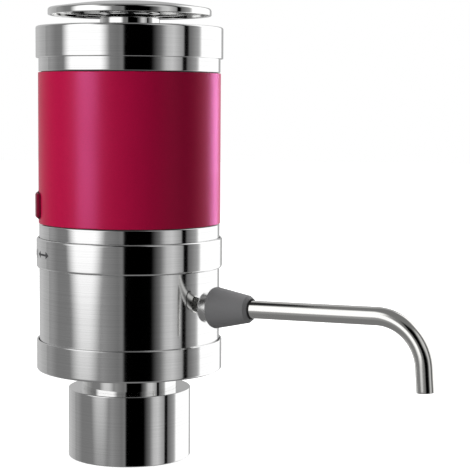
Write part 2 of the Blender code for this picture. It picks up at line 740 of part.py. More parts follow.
def build_switch():
    """Side pressed switch under the board, with its plunger behind the button's flange."""
    tip = flange_back - GAP
    front = tip - PLUNGER_PROUD
    body = block("switch_body", SWITCH_HEIGHT, SWITCH_WIDTH, SWITCH_DEPTH, "black_plastic",
                 button_place @ shift(z=front - SWITCH_DEPTH))
    bore_bottom = front - PLUNGER_SUNK - BUTTON_TRAVEL - GAP
    bore = cylinder("plunger_bore_cut", PLUNGER_RADIUS + GAP, bore_bottom, front + OVERRUN,
                    sides=FINE_SIDES, place=button_place)
    cut(body, bore)
    cylinder("switch_plunger", PLUNGER_RADIUS, -PLUNGER_SUNK, tip - front, "white_plastic", FINE_SIDES,
             button_place @ shift(z=front))
    cylinder("circuit_board", board_radius, board_bottom, board_bottom + BOARD, "board_green",
             PIECE_SIDES)


def build_well():
    """Battery well: a cup with a flange on the head's tube and posts that carry the board."""
    outline = [
        (0, well_floor_bottom),
        (well_radius, well_floor_bottom),
        (well_radius, well_flange_bottom),
        (chassis_radius, well_flange_bottom),
        (chassis_radius, well_flange_top),
        (well_inner, well_flange_top),
        (well_inner, well_floor_top),
        (0, well_floor_top),
    ]
    well = turned("battery_well", outline, "black_plastic", BODY_SIDES)
    for index in range(POST_COUNT):
        place = turn(POST_TURN + math.tau * index / POST_COUNT) @ shift(x=well_radius - POST_INSET)
        post = cylinder(f"board_post_{index + 1}", POST_RADIUS, board_bottom + BOARD + GAP,
                        well_floor_bottom + WELL_FLOOR / 2, sides=FINE_SIDES, place=place)
        join(well, post)
    head_bottom = well_contact_top - WELL_CONTACT_HEAD
    for index in (0, CELL_COUNT - 1):
        place = cell_place(index)
        seat = cylinder(f"well_contact_seat_{index + 1}", WELL_CONTACT_RADIUS + GAP, head_bottom - GAP,
                        well_floor_top + OVERRUN, sides=FINE_SIDES, place=place)
        hole = cylinder(f"well_contact_hole_{index + 1}", WELL_CONTACT_STEM_RADIUS + GAP,
                        well_floor_bottom - OVERRUN, head_bottom, sides=FINE_SIDES, place=place)
        cut(well, seat, hole)
        outline = [
            (0, board_bottom + BOARD + GAP),
            (WELL_CONTACT_STEM_RADIUS, board_bottom + BOARD + GAP),
            (WELL_CONTACT_STEM_RADIUS, head_bottom),
            (WELL_CONTACT_RADIUS, head_bottom),
            (WELL_CONTACT_RADIUS, well_contact_top),
            (0, well_contact_top),
        ]
        turned(f"well_contact_{index + 1}", outline, "brass", FINE_SIDES, place)


def cell_place(index):
    """The place of a battery cell's axis, the first one at half a step from the spout."""
    return turn(math.tau * (index + 1 / 2) / CELL_COUNT) @ shift(x=cell_ring)


def strap_place(index, height):
    """The place of a strap between a cell and the next one."""
    middle = cell_ring * math.cos(math.pi / CELL_COUNT)
    return turn(math.tau * (index + 1) / CELL_COUNT) @ shift(x=middle, z=height)


def build_cartridge():
    """Cartridge: two plates on a fluted column that cradles the cells, bored for the pivot."""
    lower = cartridge_bottom + CARTRIDGE_BOTTOM
    upper = cartridge_top - CARTRIDGE_TOP
    flute = CELL_RADIUS + GAP
    outline = []
    for step in range(CELL_COUNT * CARTRIDGE_FLUTE_STEPS):
        offset = (step % CARTRIDGE_FLUTE_STEPS / CARTRIDGE_FLUTE_STEPS - 1 / 2) * math.tau / CELL_COUNT
        half_chord = flute ** 2 - (cell_ring * math.sin(offset)) ** 2
        radius = cell_ring * math.cos(offset) - math.sqrt(max(half_chord, 0))
        radius = min(radius, CARTRIDGE_COLUMN)
        angle = math.tau * step / (CELL_COUNT * CARTRIDGE_FLUTE_STEPS)
        outline.append((radius * math.cos(angle), radius * math.sin(angle)))
    depth = upper - lower + (CARTRIDGE_BOTTOM + CARTRIDGE_TOP) / 2
    cartridge = extruded("battery_cartridge", outline, depth, "grey_plastic",
                         shift(z=lower - CARTRIDGE_BOTTOM / 2))
    plates = (("cartridge_floor", cartridge_bottom, lower), ("cartridge_lid", upper, cartridge_top))
    for name, bottom, top in plates:
        join(cartridge, cylinder(name, CARTRIDGE_RADIUS, bottom, top, sides=PIECE_SIDES))
    cut(cartridge, cylinder("column_bore_cut", column_bore, cartridge_bottom - OVERRUN, upper))
    cut(cartridge, cylinder("pivot_bore_cut", SCREW_SHOULDER_RADIUS + GAP, upper - OVERRUN,
                            cartridge_top + OVERRUN))
    for index in (0, CELL_COUNT - 1):
        hole = cylinder(f"terminal_hole_{index + 1}", CONTACT_PIN_RADIUS + GAP,
                        cartridge_bottom - OVERRUN, lower + OVERRUN, sides=FINE_SIDES,
                        place=cell_place(index))
        cut(cartridge, hole)


def build_cells():
    """Six cells in a ring, turned end for end in turn, joined in series by contact straps."""
    floor = cartridge_bottom + CARTRIDGE_BOTTOM + GAP
    ceiling = cartridge_top - CARTRIDGE_TOP - GAP
    base = floor + CONTACT + GAP
    outline = [
        (0, 0),
        (CELL_RADIUS, 0),
        (CELL_RADIUS, CELL_LENGTH - CELL_NUB),
        (CELL_NUB_RADIUS, CELL_LENGTH - CELL_NUB),
        (CELL_NUB_RADIUS, CELL_LENGTH),
        (0, CELL_LENGTH),
    ]
    for index in range(CELL_COUNT):
        upright = cell_place(index) @ shift(z=base)
        flipped = cell_place(index) @ shift(z=base + CELL_LENGTH) @ turn(math.pi, "X")
        turned(f"battery_cell_{index + 1}", outline, "cell_wrap", FINE_SIDES,
               upright if index % 2 == 0 else flipped)
    span = 2 * cell_ring * math.sin(math.pi / CELL_COUNT) + CONTACT_WIDTH
    strap = rounded_outline(CONTACT_WIDTH, span, CONTACT_WIDTH / 3, STRAP_CORNER_STEPS)
    for index in range(CELL_COUNT // 2):
        extruded(f"upper_strap_{index + 1}", strap, CONTACT, "brass",
                 strap_place(2 * index, ceiling - CONTACT))
    for index in range(CELL_COUNT // 2 - 1):
        extruded(f"lower_strap_{index + 1}", strap, CONTACT, "brass",
                 strap_place(2 * index + 1, floor))
    for index in (0, CELL_COUNT - 1):
        outline = [
            (0, cartridge_bottom - CONTACT_PIN_PROUD),
            (CONTACT_PIN_RADIUS, cartridge_bottom - CONTACT_PIN_PROUD),
            (CONTACT_PIN_RADIUS, floor),
            (CONTACT_WIDTH / 2, floor),
            (CONTACT_WIDTH / 2, floor + CONTACT),
            (0, floor + CONTACT),
        ]
        turned(f"cartridge_contact_{index + 1}", outline, "brass", FINE_SIDES, cell_place(index))


def build_cap():
    """Battery cap with its gasket, hub, ring handle and the pivot screw that holds the cartridge."""
    top_round = COLLAR_RADIUS - CAP_ROUNDING
    hole = HUB_SPIGOT_RADIUS + GAP
    outline = [
        (base_inner, cap_bottom),
        (COLLAR_RADIUS - COLLAR_CHAMFER, cap_bottom),
        (COLLAR_RADIUS, cap_bottom + COLLAR_CHAMFER),
        *arc(top_round, cap_top - CAP_ROUNDING, CAP_ROUNDING, 0, 90, 2),
        (hole, cap_top),
        (hole, cap_underside),
        (base_inner, cap_underside),
    ]
    turned("battery_cap", outline, "brushed_steel")
    tube("cap_gasket", chassis_radius - CAP_GASKET_WIDTH, chassis_radius, cap_underside - GAP - CAP_GASKET,
         cap_underside - GAP, "black_rubber", PIECE_SIDES)
    hub_bottom = cap_top + GAP
    flange_top = hub_bottom + HUB_FLANGE
    hub_top = handle_boss_bottom - GAP
    bore = SCREW_SHANK_RADIUS + GAP
    hub = [
        (bore, cap_underside),
        (HUB_SPIGOT_RADIUS, cap_underside),
        (HUB_SPIGOT_RADIUS, hub_bottom),
        (HUB_RADIUS, hub_bottom),
        (HUB_RADIUS, flange_top),
        (HUB_NECK_RADIUS, flange_top),
        (HUB_NECK_RADIUS, hub_top),
        (bore, hub_top),
    ]
    turned("cap_hub", hub, "polished_steel", PIECE_SIDES)


def dome_height(radius, rim):
    """Height of the handle's dome over a radius: flat in the middle, then falling to its rim."""
    share = max(0, radius - HANDLE_FLAT_RADIUS) / (rim - HANDLE_FLAT_RADIUS)
    return handle_top - (handle_top - handle_edge) * share ** HANDLE_DOME_POWER


def build_handle():
    """Ring handle: a shallow hollow dome with a skirt round it and a boss for the screw."""
    tap = SCREW_SHANK_RADIUS + GAP
    tap_top = handle_boss_bottom + HANDLE_TAP_DEPTH
    edge = handle_radius - HANDLE_ROUNDING
    inner = handle_radius - HANDLE_WALL
    outer_radii = [
        edge + (HANDLE_FLAT_RADIUS - edge) * step / HANDLE_OUTER_STEPS
        for step in range(1, HANDLE_OUTER_STEPS + 1)
    ]
    inner_radii = [
        HUB_RADIUS + (inner - HUB_RADIUS) * step / HANDLE_INNER_STEPS
        for step in range(HANDLE_INNER_STEPS + 1)
    ]
    outline = [
        (0, handle_boss_bottom),
        (HUB_RADIUS, handle_boss_bottom),
        *[(radius, dome_height(radius, edge) - HANDLE_WALL) for radius in inner_radii],
        (inner, handle_bottom),
        (handle_radius, handle_bottom),
        *arc(edge, handle_edge - HANDLE_ROUNDING, HANDLE_ROUNDING, 0, 90, 2),
        *[(radius, dome_height(radius, edge)) for radius in outer_radii],
        (0, handle_top),
    ]
    handle = turned("ring_handle", outline, "polished_steel")
    cut(handle, cylinder("handle_tap_cut", tap, handle_boss_bottom - OVERRUN, tap_top, sides=FINE_SIDES))
    head_top = cartridge_top - CARTRIDGE_TOP - GAP
    shoulder_top = cap_underside - GAP
    screw = [
        (0, head_top - SCREW_HEAD),
        (SCREW_HEAD_RADIUS, head_top - SCREW_HEAD),
        (SCREW_HEAD_RADIUS, head_top),
        (SCREW_SHOULDER_RADIUS, head_top),
        (SCREW_SHOULDER_RADIUS, shoulder_top),
        (SCREW_SHANK_RADIUS, shoulder_top),
        (SCREW_SHANK_RADIUS, tap_top - GAP),
        (0, tap_top - GAP),
    ]
    turned("pivot_screw", screw, "zinc_steel", FINE_SIDES)


def build_pump_deck():
    """Moulded deck on four feet: a rim round the pump's head and windows for the two hoses."""
    deck = cylinder("pump_deck", pump_deck_radius, pump_deck_bottom, pump_deck_top, "black_plastic",
                    BODY_SIDES)
    rim_inner = PUMP_RADIUS + GAP
    rim = tube("pump_deck_rim", rim_inner, rim_inner + PUMP_DECK_RIM_WALL, pump_deck_top - PUMP_DECK / 2,
               pump_deck_top + PUMP_DECK_RIM, None, PIECE_SIDES, pump_place)
    join(deck, rim)
    for index in range(PUMP_DECK_FEET):
        place = turn(math.tau * (index + 1 / 2) / PUMP_DECK_FEET) @ shift(
            x=pump_deck_radius - PUMP_DECK_FOOT_INSET)
        foot = cylinder(f"pump_deck_foot_{index + 1}", PUMP_DECK_FOOT_RADIUS, base_floor + GAP,
                        pump_deck_bottom + PUMP_DECK / 2, sides=FINE_SIDES, place=place)
        join(deck, foot)
    reach = (pump_deck_bottom - OVERRUN, pump_deck_top + OVERRUN)
    nozzle_hole = cylinder("nozzle_hole_cut", AIR_HOSE_RADIUS + GAP, *reach, sides=FINE_SIDES,
                           place=pump_place)
    wine_window = cylinder("wine_window_cut", DECK_WINDOW_RADIUS, *reach,
                           place=shift(x=(WINE_PORT_OFFSET + ELBOW_OFFSET) / 2))
    cut(deck, nozzle_hole, wine_window)


def build_pump():
    """Three chamber diaphragm pump: head, valve plate, rubber cups, wobble plate and frame."""
    nozzle_bottom = pump_head_bottom - NOZZLE_LENGTH
    head = [
        (AIR_TUBE_BORE, nozzle_bottom - NOZZLE_TAIL),
        (AIR_TUBE_RADIUS, nozzle_bottom - NOZZLE_TAIL),
        (AIR_TUBE_RADIUS, pump_head_bottom),
        (PUMP_RADIUS, pump_head_bottom),
        (PUMP_RADIUS, pump_head_bottom + PUMP_HEAD),
        (AIR_TUBE_BORE, pump_head_bottom + PUMP_HEAD),
    ]
    turned("pump_head", head, "black_plastic", PIECE_SIDES, pump_place)
    plate = cylinder("valve_plate", PUMP_RADIUS, valve_plate_bottom, valve_plate_bottom + VALVE_PLATE,
                     "white_plastic", PIECE_SIDES, pump_place)
    diaphragm = cylinder("diaphragm", PUMP_RADIUS, diaphragm_bottom, diaphragm_top, "black_rubber",
                         PIECE_SIDES, pump_place)
    for index in range(CHAMBER_COUNT):
        place = pump_place @ turn(math.tau * index / CHAMBER_COUNT) @ shift(x=CHAMBER_RING)
        hole = cylinder(f"valve_hole_{index + 1}", VALVE_HOLE_RADIUS, valve_plate_bottom - OVERRUN,
                        valve_plate_bottom + VALVE_PLATE + OVERRUN, sides=FINE_SIDES, place=place)
        cut(plate, hole)
        cup = cylinder(f"chamber_cup_{index + 1}", CHAMBER_RADIUS, diaphragm_top - DIAPHRAGM / 2,
                       diaphragm_top + CHAMBER_HEIGHT, sides=FINE_SIDES, place=place,
                       top_radius=CHAMBER_RADIUS * CHAMBER_TAPER_SHARE)
        join(diaphragm, cup)
    build_wobble_plate()
    build_pump_frame()


def build_wobble_plate():
    """Three armed plate over the cups, whose boss holds a conical socket for the crank pin."""
    outline = []
    for side in range(WOBBLE_SIDES):
        angle = math.tau * side / WOBBLE_SIDES
        swell = (1 + math.cos(CHAMBER_COUNT * angle)) / 2
        radius = WOBBLE_WAIST_RADIUS + (WOBBLE_ARM_RADIUS - WOBBLE_WAIST_RADIUS) * swell
        outline.append((radius * math.cos(angle), radius * math.sin(angle)))
    plate = extruded("wobble_plate", outline, WOBBLE_PLATE, "white_plastic",
                     pump_place @ shift(z=wobble_bottom))
    boss = cylinder("wobble_boss", WOBBLE_BOSS_RADIUS, wobble_top - WOBBLE_PLATE / 2,
                    wobble_top + WOBBLE_BOSS, sides=FINE_SIDES, place=pump_place)
    join(plate, boss)
    tip_height, mouth_height = wobble_top, wobble_top + WOBBLE_BOSS + OVERRUN
    slope = crank_slope()
    tip_radius = CRANK_PIN_RADIUS + GAP
    mouth_radius = tip_radius + (mouth_height - tip_height) * slope
    socket = cylinder("crank_socket_cut", tip_radius, tip_height, mouth_height, sides=FINE_SIDES,
                      place=pump_place, top_radius=mouth_radius)
    cut(plate, socket)


def crank_slope():
    """Slope of the crank pin: it leans from the wobble plate's middle to the crank's offset."""
    return CRANK_OFFSET / (eccentric_top - wobble_top)


def build_pump_frame():
    """Cup over the wobble plate, with two windows and a hole for the motor's nose."""
    inner = PUMP_RADIUS - PUMP_WALL
    hole = MOTOR_BOSS_RADIUS + GAP
    outline = [
        (inner, frame_bottom),
        (PUMP_RADIUS, frame_bottom),
        (PUMP_RADIUS, frame_top),
        (hole, frame_top),
        (hole, frame_top - FRAME_CAP),
        (inner, frame_top - FRAME_CAP),
    ]
    frame = turned("pump_frame", outline, "black_plastic", PIECE_SIDES, pump_place)
    middle = (frame_bottom + frame_top - FRAME_CAP - FRAME_WINDOW_HEIGHT) / 2
    window = block("frame_window_cut", FRAME_WINDOW_WIDTH, 2 * (PUMP_RADIUS + OVERRUN),
                   FRAME_WINDOW_HEIGHT, place=pump_place @ shift(z=middle))
    cut(frame, window)


def build_motor():
    """Motor can with its nose and end cap, and the rotor that drives the wobble plate."""
    can = [
        (SHAFT_RADIUS + GAP, motor_bottom - MOTOR_BOSS),
        (MOTOR_BOSS_RADIUS, motor_bottom - MOTOR_BOSS),
        (MOTOR_BOSS_RADIUS, motor_bottom),
        (MOTOR_RADIUS - MOTOR_EDGE, motor_bottom),
        (MOTOR_RADIUS, motor_bottom + MOTOR_EDGE),
        (MOTOR_RADIUS, motor_top),
        (0, motor_top),
        (0, motor_bottom + SHAFT_SUNK + GAP),
        (SHAFT_RADIUS + GAP, motor_bottom + SHAFT_SUNK + GAP),
    ]
    turned("motor_can", can, "zinc_steel", PIECE_SIDES, pump_place)
    cap = cylinder("motor_end_cap", MOTOR_CAP_RADIUS, motor_top + GAP, motor_cap_top, "white_plastic",
                   SMALL_SIDES, pump_place)
    tab_bottom = motor_cap_top - MOTOR_CAP / 2
    for side in (-1, 1):
        tab = block("motor_terminal", TERMINAL_WIDTH, TERMINAL_THICKNESS, terminal_top - tab_bottom,
                    place=pump_place @ shift(y=side * TERMINAL_OFFSET, z=tab_bottom))
        join(cap, tab)
    build_motor_contacts()
    cylinder("motor_shaft", SHAFT_RADIUS, eccentric_bottom + ECCENTRIC_HEIGHT / 2 + GAP,
             motor_bottom + SHAFT_SUNK, "zinc_steel", FINE_SIDES, pump_place)
    build_eccentric()


def build_motor_contacts():
    """Contact pins under the board, which meet the motor's terminals when the halves are joined."""
    for index, side in enumerate((-1, 1)):
        cylinder(f"motor_contact_{index + 1}", MOTOR_PIN_RADIUS, terminal_top + GAP, board_bottom - GAP,
                 "brass", FINE_SIDES, pump_place @ shift(y=side * TERMINAL_OFFSET))


def build_eccentric():
    """Eccentric on the shaft, with a crank pin that leans back to the axis."""
    eccentric = cylinder("eccentric", ECCENTRIC_RADIUS, eccentric_bottom, eccentric_top, "black_plastic",
                         SMALL_SIDES, pump_place)
    bore = cylinder("shaft_bore_cut", SHAFT_RADIUS + GAP, eccentric_bottom + ECCENTRIC_HEIGHT / 2,
                    eccentric_top + OVERRUN, sides=FINE_SIDES, place=pump_place)
    lean = math.atan(crank_slope())
    pin_place = pump_place @ shift(z=wobble_top) @ turn(lean, "Y")
    reach = (eccentric_bottom - wobble_top) / math.cos(lean)
    sunk = ECCENTRIC_HEIGHT / 2 / math.cos(lean)
    cut(eccentric, bore)
    pin = cylinder("crank_pin", CRANK_PIN_RADIUS, CRANK_PIN_TIP_RISE, reach + sunk, sides=FINE_SIDES,
                   place=pin_place)
    join(eccentric, pin)


def hose_stations(start_x, end_x, bottom, top, lower_grip, upper_grip, radius):
    """Stations of an upright hose that eases from one port's axis to the other's between its grips."""
    low, high = bottom + lower_grip, top - upper_grip
    stations = [(start_x, bottom, 0, radius)]
    for step in range(HOSE_STEPS + 1):
        share = step / HOSE_STEPS
        ease = share * share * (3 - 2 * share)
        slope = 6 * share * (1 - share) * (end_x - start_x) / (high - low)
        stations.append((start_x + (end_x - start_x) * ease, low + (high - low) * share,
                         math.atan(slope), radius))
    stations.append((end_x, top, 0, radius))
    return stations


def build_hoses():
    """Air hose from the pump's nozzle to the valve, and wine hose from the nipple to the elbow."""
    valve_top = stopper_top + GAP + AIR_FLANGE + AIR_STEM
    nozzle_end = pump_head_bottom - NOZZLE_LENGTH - NOZZLE_TAIL
    air_bottom = stopper_top + GAP + AIR_FLANGE + GAP
    air_top = pump_head_bottom - GAP
    air = hose_stations(-AIR_PORT_OFFSET, -PUMP_OFFSET, air_bottom, air_top,
                        valve_top - air_bottom + HOSE_START_STRAIGHT,
                        air_top - nozzle_end + HOSE_START_STRAIGHT, AIR_HOSE_RADIUS)
    swept_tube("air_hose", air, AIR_HOSE_BORE, "clear_silicone", FINE_SIDES)
    nipple_top = stopper_top + GAP + NIPPLE_FLANGE + NIPPLE_STEM
    wine_bottom = stopper_top + GAP + NIPPLE_FLANGE + GAP
    wine_top = elbow_rise() + HOSE_GRIP - ELBOW_LEG
    wine = hose_stations(WINE_PORT_OFFSET, ELBOW_OFFSET, wine_bottom, wine_top,
                         nipple_top - wine_bottom + HOSE_START_STRAIGHT,
                         HOSE_GRIP + HOSE_START_STRAIGHT, WINE_HOSE_RADIUS)
    swept_tube("wine_hose", wine, WINE_HOSE_BORE, "clear_silicone", FINE_SIDES)


def elbow_rise():
    """Height where the elbow's bend starts, so that it ends on the spout's axis."""
    turn_angle = math.pi / 2 - SPOUT_TILT
    end_x = ELBOW_OFFSET + ELBOW_BEND * (1 - math.cos(turn_angle))
    return SPOUT_HEIGHT + end_x * math.tan(SPOUT_TILT) - ELBOW_BEND * math.sin(turn_angle)


def bend_stations(start_x, start_z, bend, angle, steps, radius):
    """Stations round a bend that starts upwards at a point and turns towards +X."""
    stations = []
    for step in range(steps + 1):
        heading = angle * step / steps
        x = start_x + bend * (1 - math.cos(heading))
        z = start_z + bend * math.sin(heading)
        stations.append((x, z, heading, radius))
    return stations


def build_elbow():
    """Elbow from the wine hose through the boss, with its leg on the spout's axis."""
    start = elbow_rise()
    heading = math.pi / 2 - SPOUT_TILT
    stations = [(ELBOW_OFFSET, start - ELBOW_LEG, 0, WINE_TUBE_RADIUS)]
    stations += bend_stations(ELBOW_OFFSET, start, ELBOW_BEND, heading, ELBOW_STEPS, WINE_TUBE_RADIUS)
    end_x = boss_end * math.cos(SPOUT_TILT)
    end_z = SPOUT_HEIGHT + boss_end * math.sin(SPOUT_TILT)
    stations.append((end_x, end_z, heading, WINE_TUBE_RADIUS))
    swept_tube("spout_elbow", stations, WINE_TUBE_BORE, "white_plastic", FINE_SIDES)


def build_boss():
    """Threaded boss through the barrel's wall, held inside by a hexagon nut."""
    bore = WINE_TUBE_RADIUS + GAP
    nut_radius = BOSS_NUT_FLATS / 2 / math.cos(math.pi / 6)
    wall_reach = math.sqrt((barrel_inner * math.cos(math.pi / BODY_SIDES)) ** 2 - nut_radius ** 2)
    nut_end = wall_reach - nut_radius * math.sin(SPOUT_TILT) - GAP
    nut_start = nut_end - BOSS_NUT
    outline = [
        (bore, nut_start),
        (BOSS_RADIUS, nut_start),
        (BOSS_RADIUS, boss_shoulder),
        (BOSS_SPIGOT_RADIUS, boss_shoulder),
        (BOSS_SPIGOT_RADIUS, boss_end),
        (bore, boss_end),
    ]
    turned("spout_boss", outline, "polished_steel", PIECE_SIDES, spout_place)
    nut = cylinder("boss_nut", nut_radius, nut_start, nut_end, "zinc_steel", 6, spout_place)
    bore_cut = cylinder("boss_nut_bore_cut", BOSS_RADIUS + GAP, nut_start - OVERRUN, nut_end + OVERRUN,
                        sides=PIECE_SIDES, place=spout_place)
    cut(nut, bore_cut)


def build_spout():
    """Grey cone that swivels on the boss's spigot, and the bent steel pipe that it carries."""
    spigot_bore = BOSS_SPIGOT_RADIUS + GAP
    pipe_bore = PIPE_RADIUS + GAP
    step = boss_end + GAP
    back_edge = CONE_BACK_RADIUS - CONE_BACK_ROUNDING
    tip_edge = CONE_TIP_RADIUS - CONE_TIP_ROUNDING
    outline = [
        (spigot_bore, cone_back),
        *arc(back_edge, cone_back + CONE_BACK_ROUNDING, CONE_BACK_ROUNDING, -90, 0, 3),
        *arc(tip_edge, cone_tip - CONE_TIP_ROUNDING, CONE_TIP_ROUNDING, 0, 90, 2),
        (pipe_bore, cone_tip),
        (pipe_bore, step),
        (spigot_bore, step),
    ]
    turned("spout_connector", outline, "grey_plastic", PIECE_SIDES, spout_place)
    bead = cone_tip + GAP
    raised = PIPE_RADIUS + BEAD_HEIGHT
    stations = [
        (0, pipe_start + GAP, 0, PIPE_RADIUS),
        (0, bead, 0, PIPE_RADIUS),
        (0, bead + BEAD_EDGE, 0, raised),
        (0, bead + BEAD_WIDTH - BEAD_EDGE, 0, raised),
        (0, bead + BEAD_WIDTH, 0, PIPE_RADIUS),
    ]
    bend = bend_stations(0, bend_start, PIPE_BEND, PIPE_BEND_ANGLE, PIPE_BEND_STEPS, PIPE_RADIUS)
    stations += bend
    last_x, last_z, heading, radius = bend[-1]
    stations.append((last_x + PIPE_END_STRAIGHT * math.sin(heading),
                     last_z + PIPE_END_STRAIGHT * math.cos(heading), heading, radius))
    swept_tube("spout_pipe", stations, PIPE_RADIUS - PIPE_WALL, "polished_steel", SMALL_SIDES, spout_place)


def main():
    clear_scene()
    build_adapter()
    build_stopper()
    build_ports()
    build_neck()
    build_base_collar()
    build_barrel()
    build_lock_ring()
    build_head()
    build_button()
    build_switch()
    build_well()
    build_cartridge()
    build_cells()
    build_cap()
    build_handle()
    build_pump_deck()
    build_pump()
    build_motor()
    build_hoses()
    build_elbow()
    build_boss()
    build_spout()


main()
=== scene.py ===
"""Looks of a battery powered wine dispenser: turned steel, a lacquered sleeve and a bent spout."""
import math

import bmesh
import bpy
import numpy as np
from mathutils import Matrix, Vector


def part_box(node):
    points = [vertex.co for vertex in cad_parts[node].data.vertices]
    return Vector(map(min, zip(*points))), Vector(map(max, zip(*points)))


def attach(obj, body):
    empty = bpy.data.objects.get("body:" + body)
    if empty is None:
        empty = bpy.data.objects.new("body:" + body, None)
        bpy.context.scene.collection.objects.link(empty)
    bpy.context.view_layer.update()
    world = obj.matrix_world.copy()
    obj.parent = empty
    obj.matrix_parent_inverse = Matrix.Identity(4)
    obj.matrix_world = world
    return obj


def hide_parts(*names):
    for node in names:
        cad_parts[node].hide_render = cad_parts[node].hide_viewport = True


bl_info = {
    "name": "Wine dispenser",
    "version": (1, 0, 0),
    "blender": (4, 5, 0),
    "location": "View3D > Sidebar > Dispenser",
    "description": "Visible pieces, finishes and studio of a battery powered wine dispenser",
    "category": "Object",
}

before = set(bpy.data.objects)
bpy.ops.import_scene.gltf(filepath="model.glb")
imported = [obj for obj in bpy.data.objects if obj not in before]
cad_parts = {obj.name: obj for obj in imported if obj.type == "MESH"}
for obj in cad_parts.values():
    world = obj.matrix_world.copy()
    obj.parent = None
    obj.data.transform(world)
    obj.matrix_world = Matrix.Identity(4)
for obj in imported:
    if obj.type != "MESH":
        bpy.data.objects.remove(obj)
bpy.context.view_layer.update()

# Gap that neighbouring solids keep
GAP = 0.0003
# Wall of the adapter, the barrel and the round top
WALL = 0.0012
# How far inside the neck's own radius the holes for it lie
NECK_STEP = 0.0044
# How far the camera's view and its lamps are turned about the body's axis
VIEW_TURN = math.radians(34)
# Direction in which the power button faces
BUTTON_ANGLE = math.radians(217)
# Edges that bend by more than this stay sharp
SHARP = math.radians(34)
# Points that are nearer to each other than this become one
SEAM = 0.0000005


def node_radius(node):
    """Outer radius of a turned CAD node that stands on the body's axis."""
    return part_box(node)[1].x


def node_span(node):
    """Lowest and highest height of a CAD node."""
    low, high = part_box(node)
    return low.z, high.z


# Shapes


def rounded(corners, steps=5, closed=True):
    """Outline with rounded corners.

    Each corner is x, y and a radius. A corner is replaced by the arc that touches both its sides:
    the arc's centre lies on the corner's bisector, radius over the sine of half the angle away.
    """
    points = []
    count = len(corners)
    for index, (x, y, radius) in enumerate(corners):
        corner = np.array((x, y), float)
        if radius == 0 or (not closed and index in (0, count - 1)):
            points.append(corner)
            continue
        back = np.array(corners[index - 1][:2], float) - corner
        ahead = np.array(corners[(index + 1) % count][:2], float) - corner
        back /= np.linalg.norm(back)
        ahead /= np.linalg.norm(ahead)
        half = math.acos(np.clip(back @ ahead, -1, 1)) / 2
        bisector = (back + ahead) / np.linalg.norm(back + ahead)
        centre = corner + bisector * radius / math.sin(half)
        reach = radius / math.tan(half)
        first = corner + back * reach - centre
        last = corner + ahead * reach - centre
        start = math.atan2(first[1], first[0])
        sweep = math.remainder(math.atan2(last[1], last[0]) - start, math.tau)
        angles = start + sweep * np.linspace(0, 1, steps + 1)
        points.extend(centre + radius * np.stack([np.cos(angles), np.sin(angles)], 1))
    return np.array(points)


def tube_corners(inner, outer, low, high, inside, outside):
    """Corners of a plain tube: its radii, its heights and the roundings of its edges."""
    return [(inner, low, inside), (outer, low, outside), (outer, high, outside),
            (inner, high, inside)]


def held(profile, inset=0.00012):
    """Outline with a point a little way in from both ends of each long side, so that the side keeps
    its own facing and only the roundings bend the light."""
    ahead = np.roll(profile, -1, 0)
    length = np.linalg.norm(ahead - profile, axis=1)
    share = np.where(length > 6 * inset, inset / np.maximum(length, inset), 0)[:, None]
    near = profile + (ahead - profile) * share
    far = ahead + (profile - ahead) * share
    long = share[:, 0] > 0
    return np.stack([profile, near, far], 1)[np.stack([np.ones_like(long), long, long], 1)]


def whole_turn(sides):
    """Angles of a whole turn, one for each side."""
    return np.linspace(0, math.tau, sides, endpoint=False)


def turned_grid(profile, sides):
    """Turned surface: at share t of a turn, a profile point of radius r and height h lies at
    (r cos(2 pi t), r sin(2 pi t), h)."""
    radius, height = np.asarray(profile, float).T
    turn = whole_turn(sides)
    x = radius[:, None] * np.cos(turn)
    y = radius[:, None] * np.sin(turn)
    z = np.broadcast_to(height[:, None], x.shape)
    return np.stack([x, y, z], -1)


def bent_grid(profile, sides, straight, bend, angle):
    """Turned surface bent in the XZ plane: a profile gives a radius r and a distance s along a line
    that runs up Z for a straight length, turns towards +X round a bend and runs straight again.
    A point lies r away from the line, across it, at its share of a turn round the line."""
    radius, along = np.asarray(profile, float).T
    heading = np.clip((along - straight) / bend, 0, angle)
    beyond = np.clip(along - straight - bend * angle, 0, None)
    x = bend * (1 - np.cos(heading)) + beyond * np.sin(heading)
    z = np.minimum(along, straight) + bend * np.sin(heading) + beyond * np.cos(heading)
    turn = whole_turn(sides)
    out = radius[:, None] * np.cos(turn)
    return np.stack([
        x[:, None] + out * np.cos(heading)[:, None],
        radius[:, None] * np.sin(turn),
        z[:, None] - out * np.sin(heading)[:, None],
    ], -1)


def strip_grid(angles, half_heights, radius, height, proud):
    """Thin plate wrapped on a cylinder: at each angle a its edge runs from height minus to height
    plus its half height, on the radius and just outside it. Both ends close to a line."""
    side = np.array([-1, -1, 1, 1])[:, None]
    lift = np.array([0, 1, 1, 0])[:, None] * proud
    reach = np.broadcast_to(radius + lift, (4, len(angles)))
    x = reach * np.cos(angles)
    y = reach * np.sin(angles)
    z = height + side * half_heights
    return np.stack([x, y, z], -1)


def surface(name, grid, turned=True):
    """Mesh of the quads between a grid's neighbours. Its rows close, and so do its columns where it
    is turned. A plate's columns stay open, because its ends close to a line."""
    rows, columns = grid.shape[:2]
    index = np.arange(rows * columns).reshape(rows, columns)
    after = np.roll(index, -1, 0)
    if turned:
        quads = np.stack([index, np.roll(index, -1, 1), np.roll(after, -1, 1), after], -1)
    else:
        quads = np.stack([index[:, :-1], index[:, 1:], after[:, 1:], after[:, :-1]], -1)
    mesh = bpy.data.meshes.new(name)
    mesh.from_pydata(grid.reshape(-1, 3).tolist(), [], quads.reshape(-1, 4).tolist())
    return mesh


def joined(name, meshes):
    """One mesh that holds several."""
    shape = bmesh.new()
    for mesh in meshes:
        shape.from_mesh(mesh)
        bpy.data.meshes.remove(mesh)
    whole = bpy.data.meshes.new(name)
    shape.to_mesh(whole)
    shape.free()
    return whole


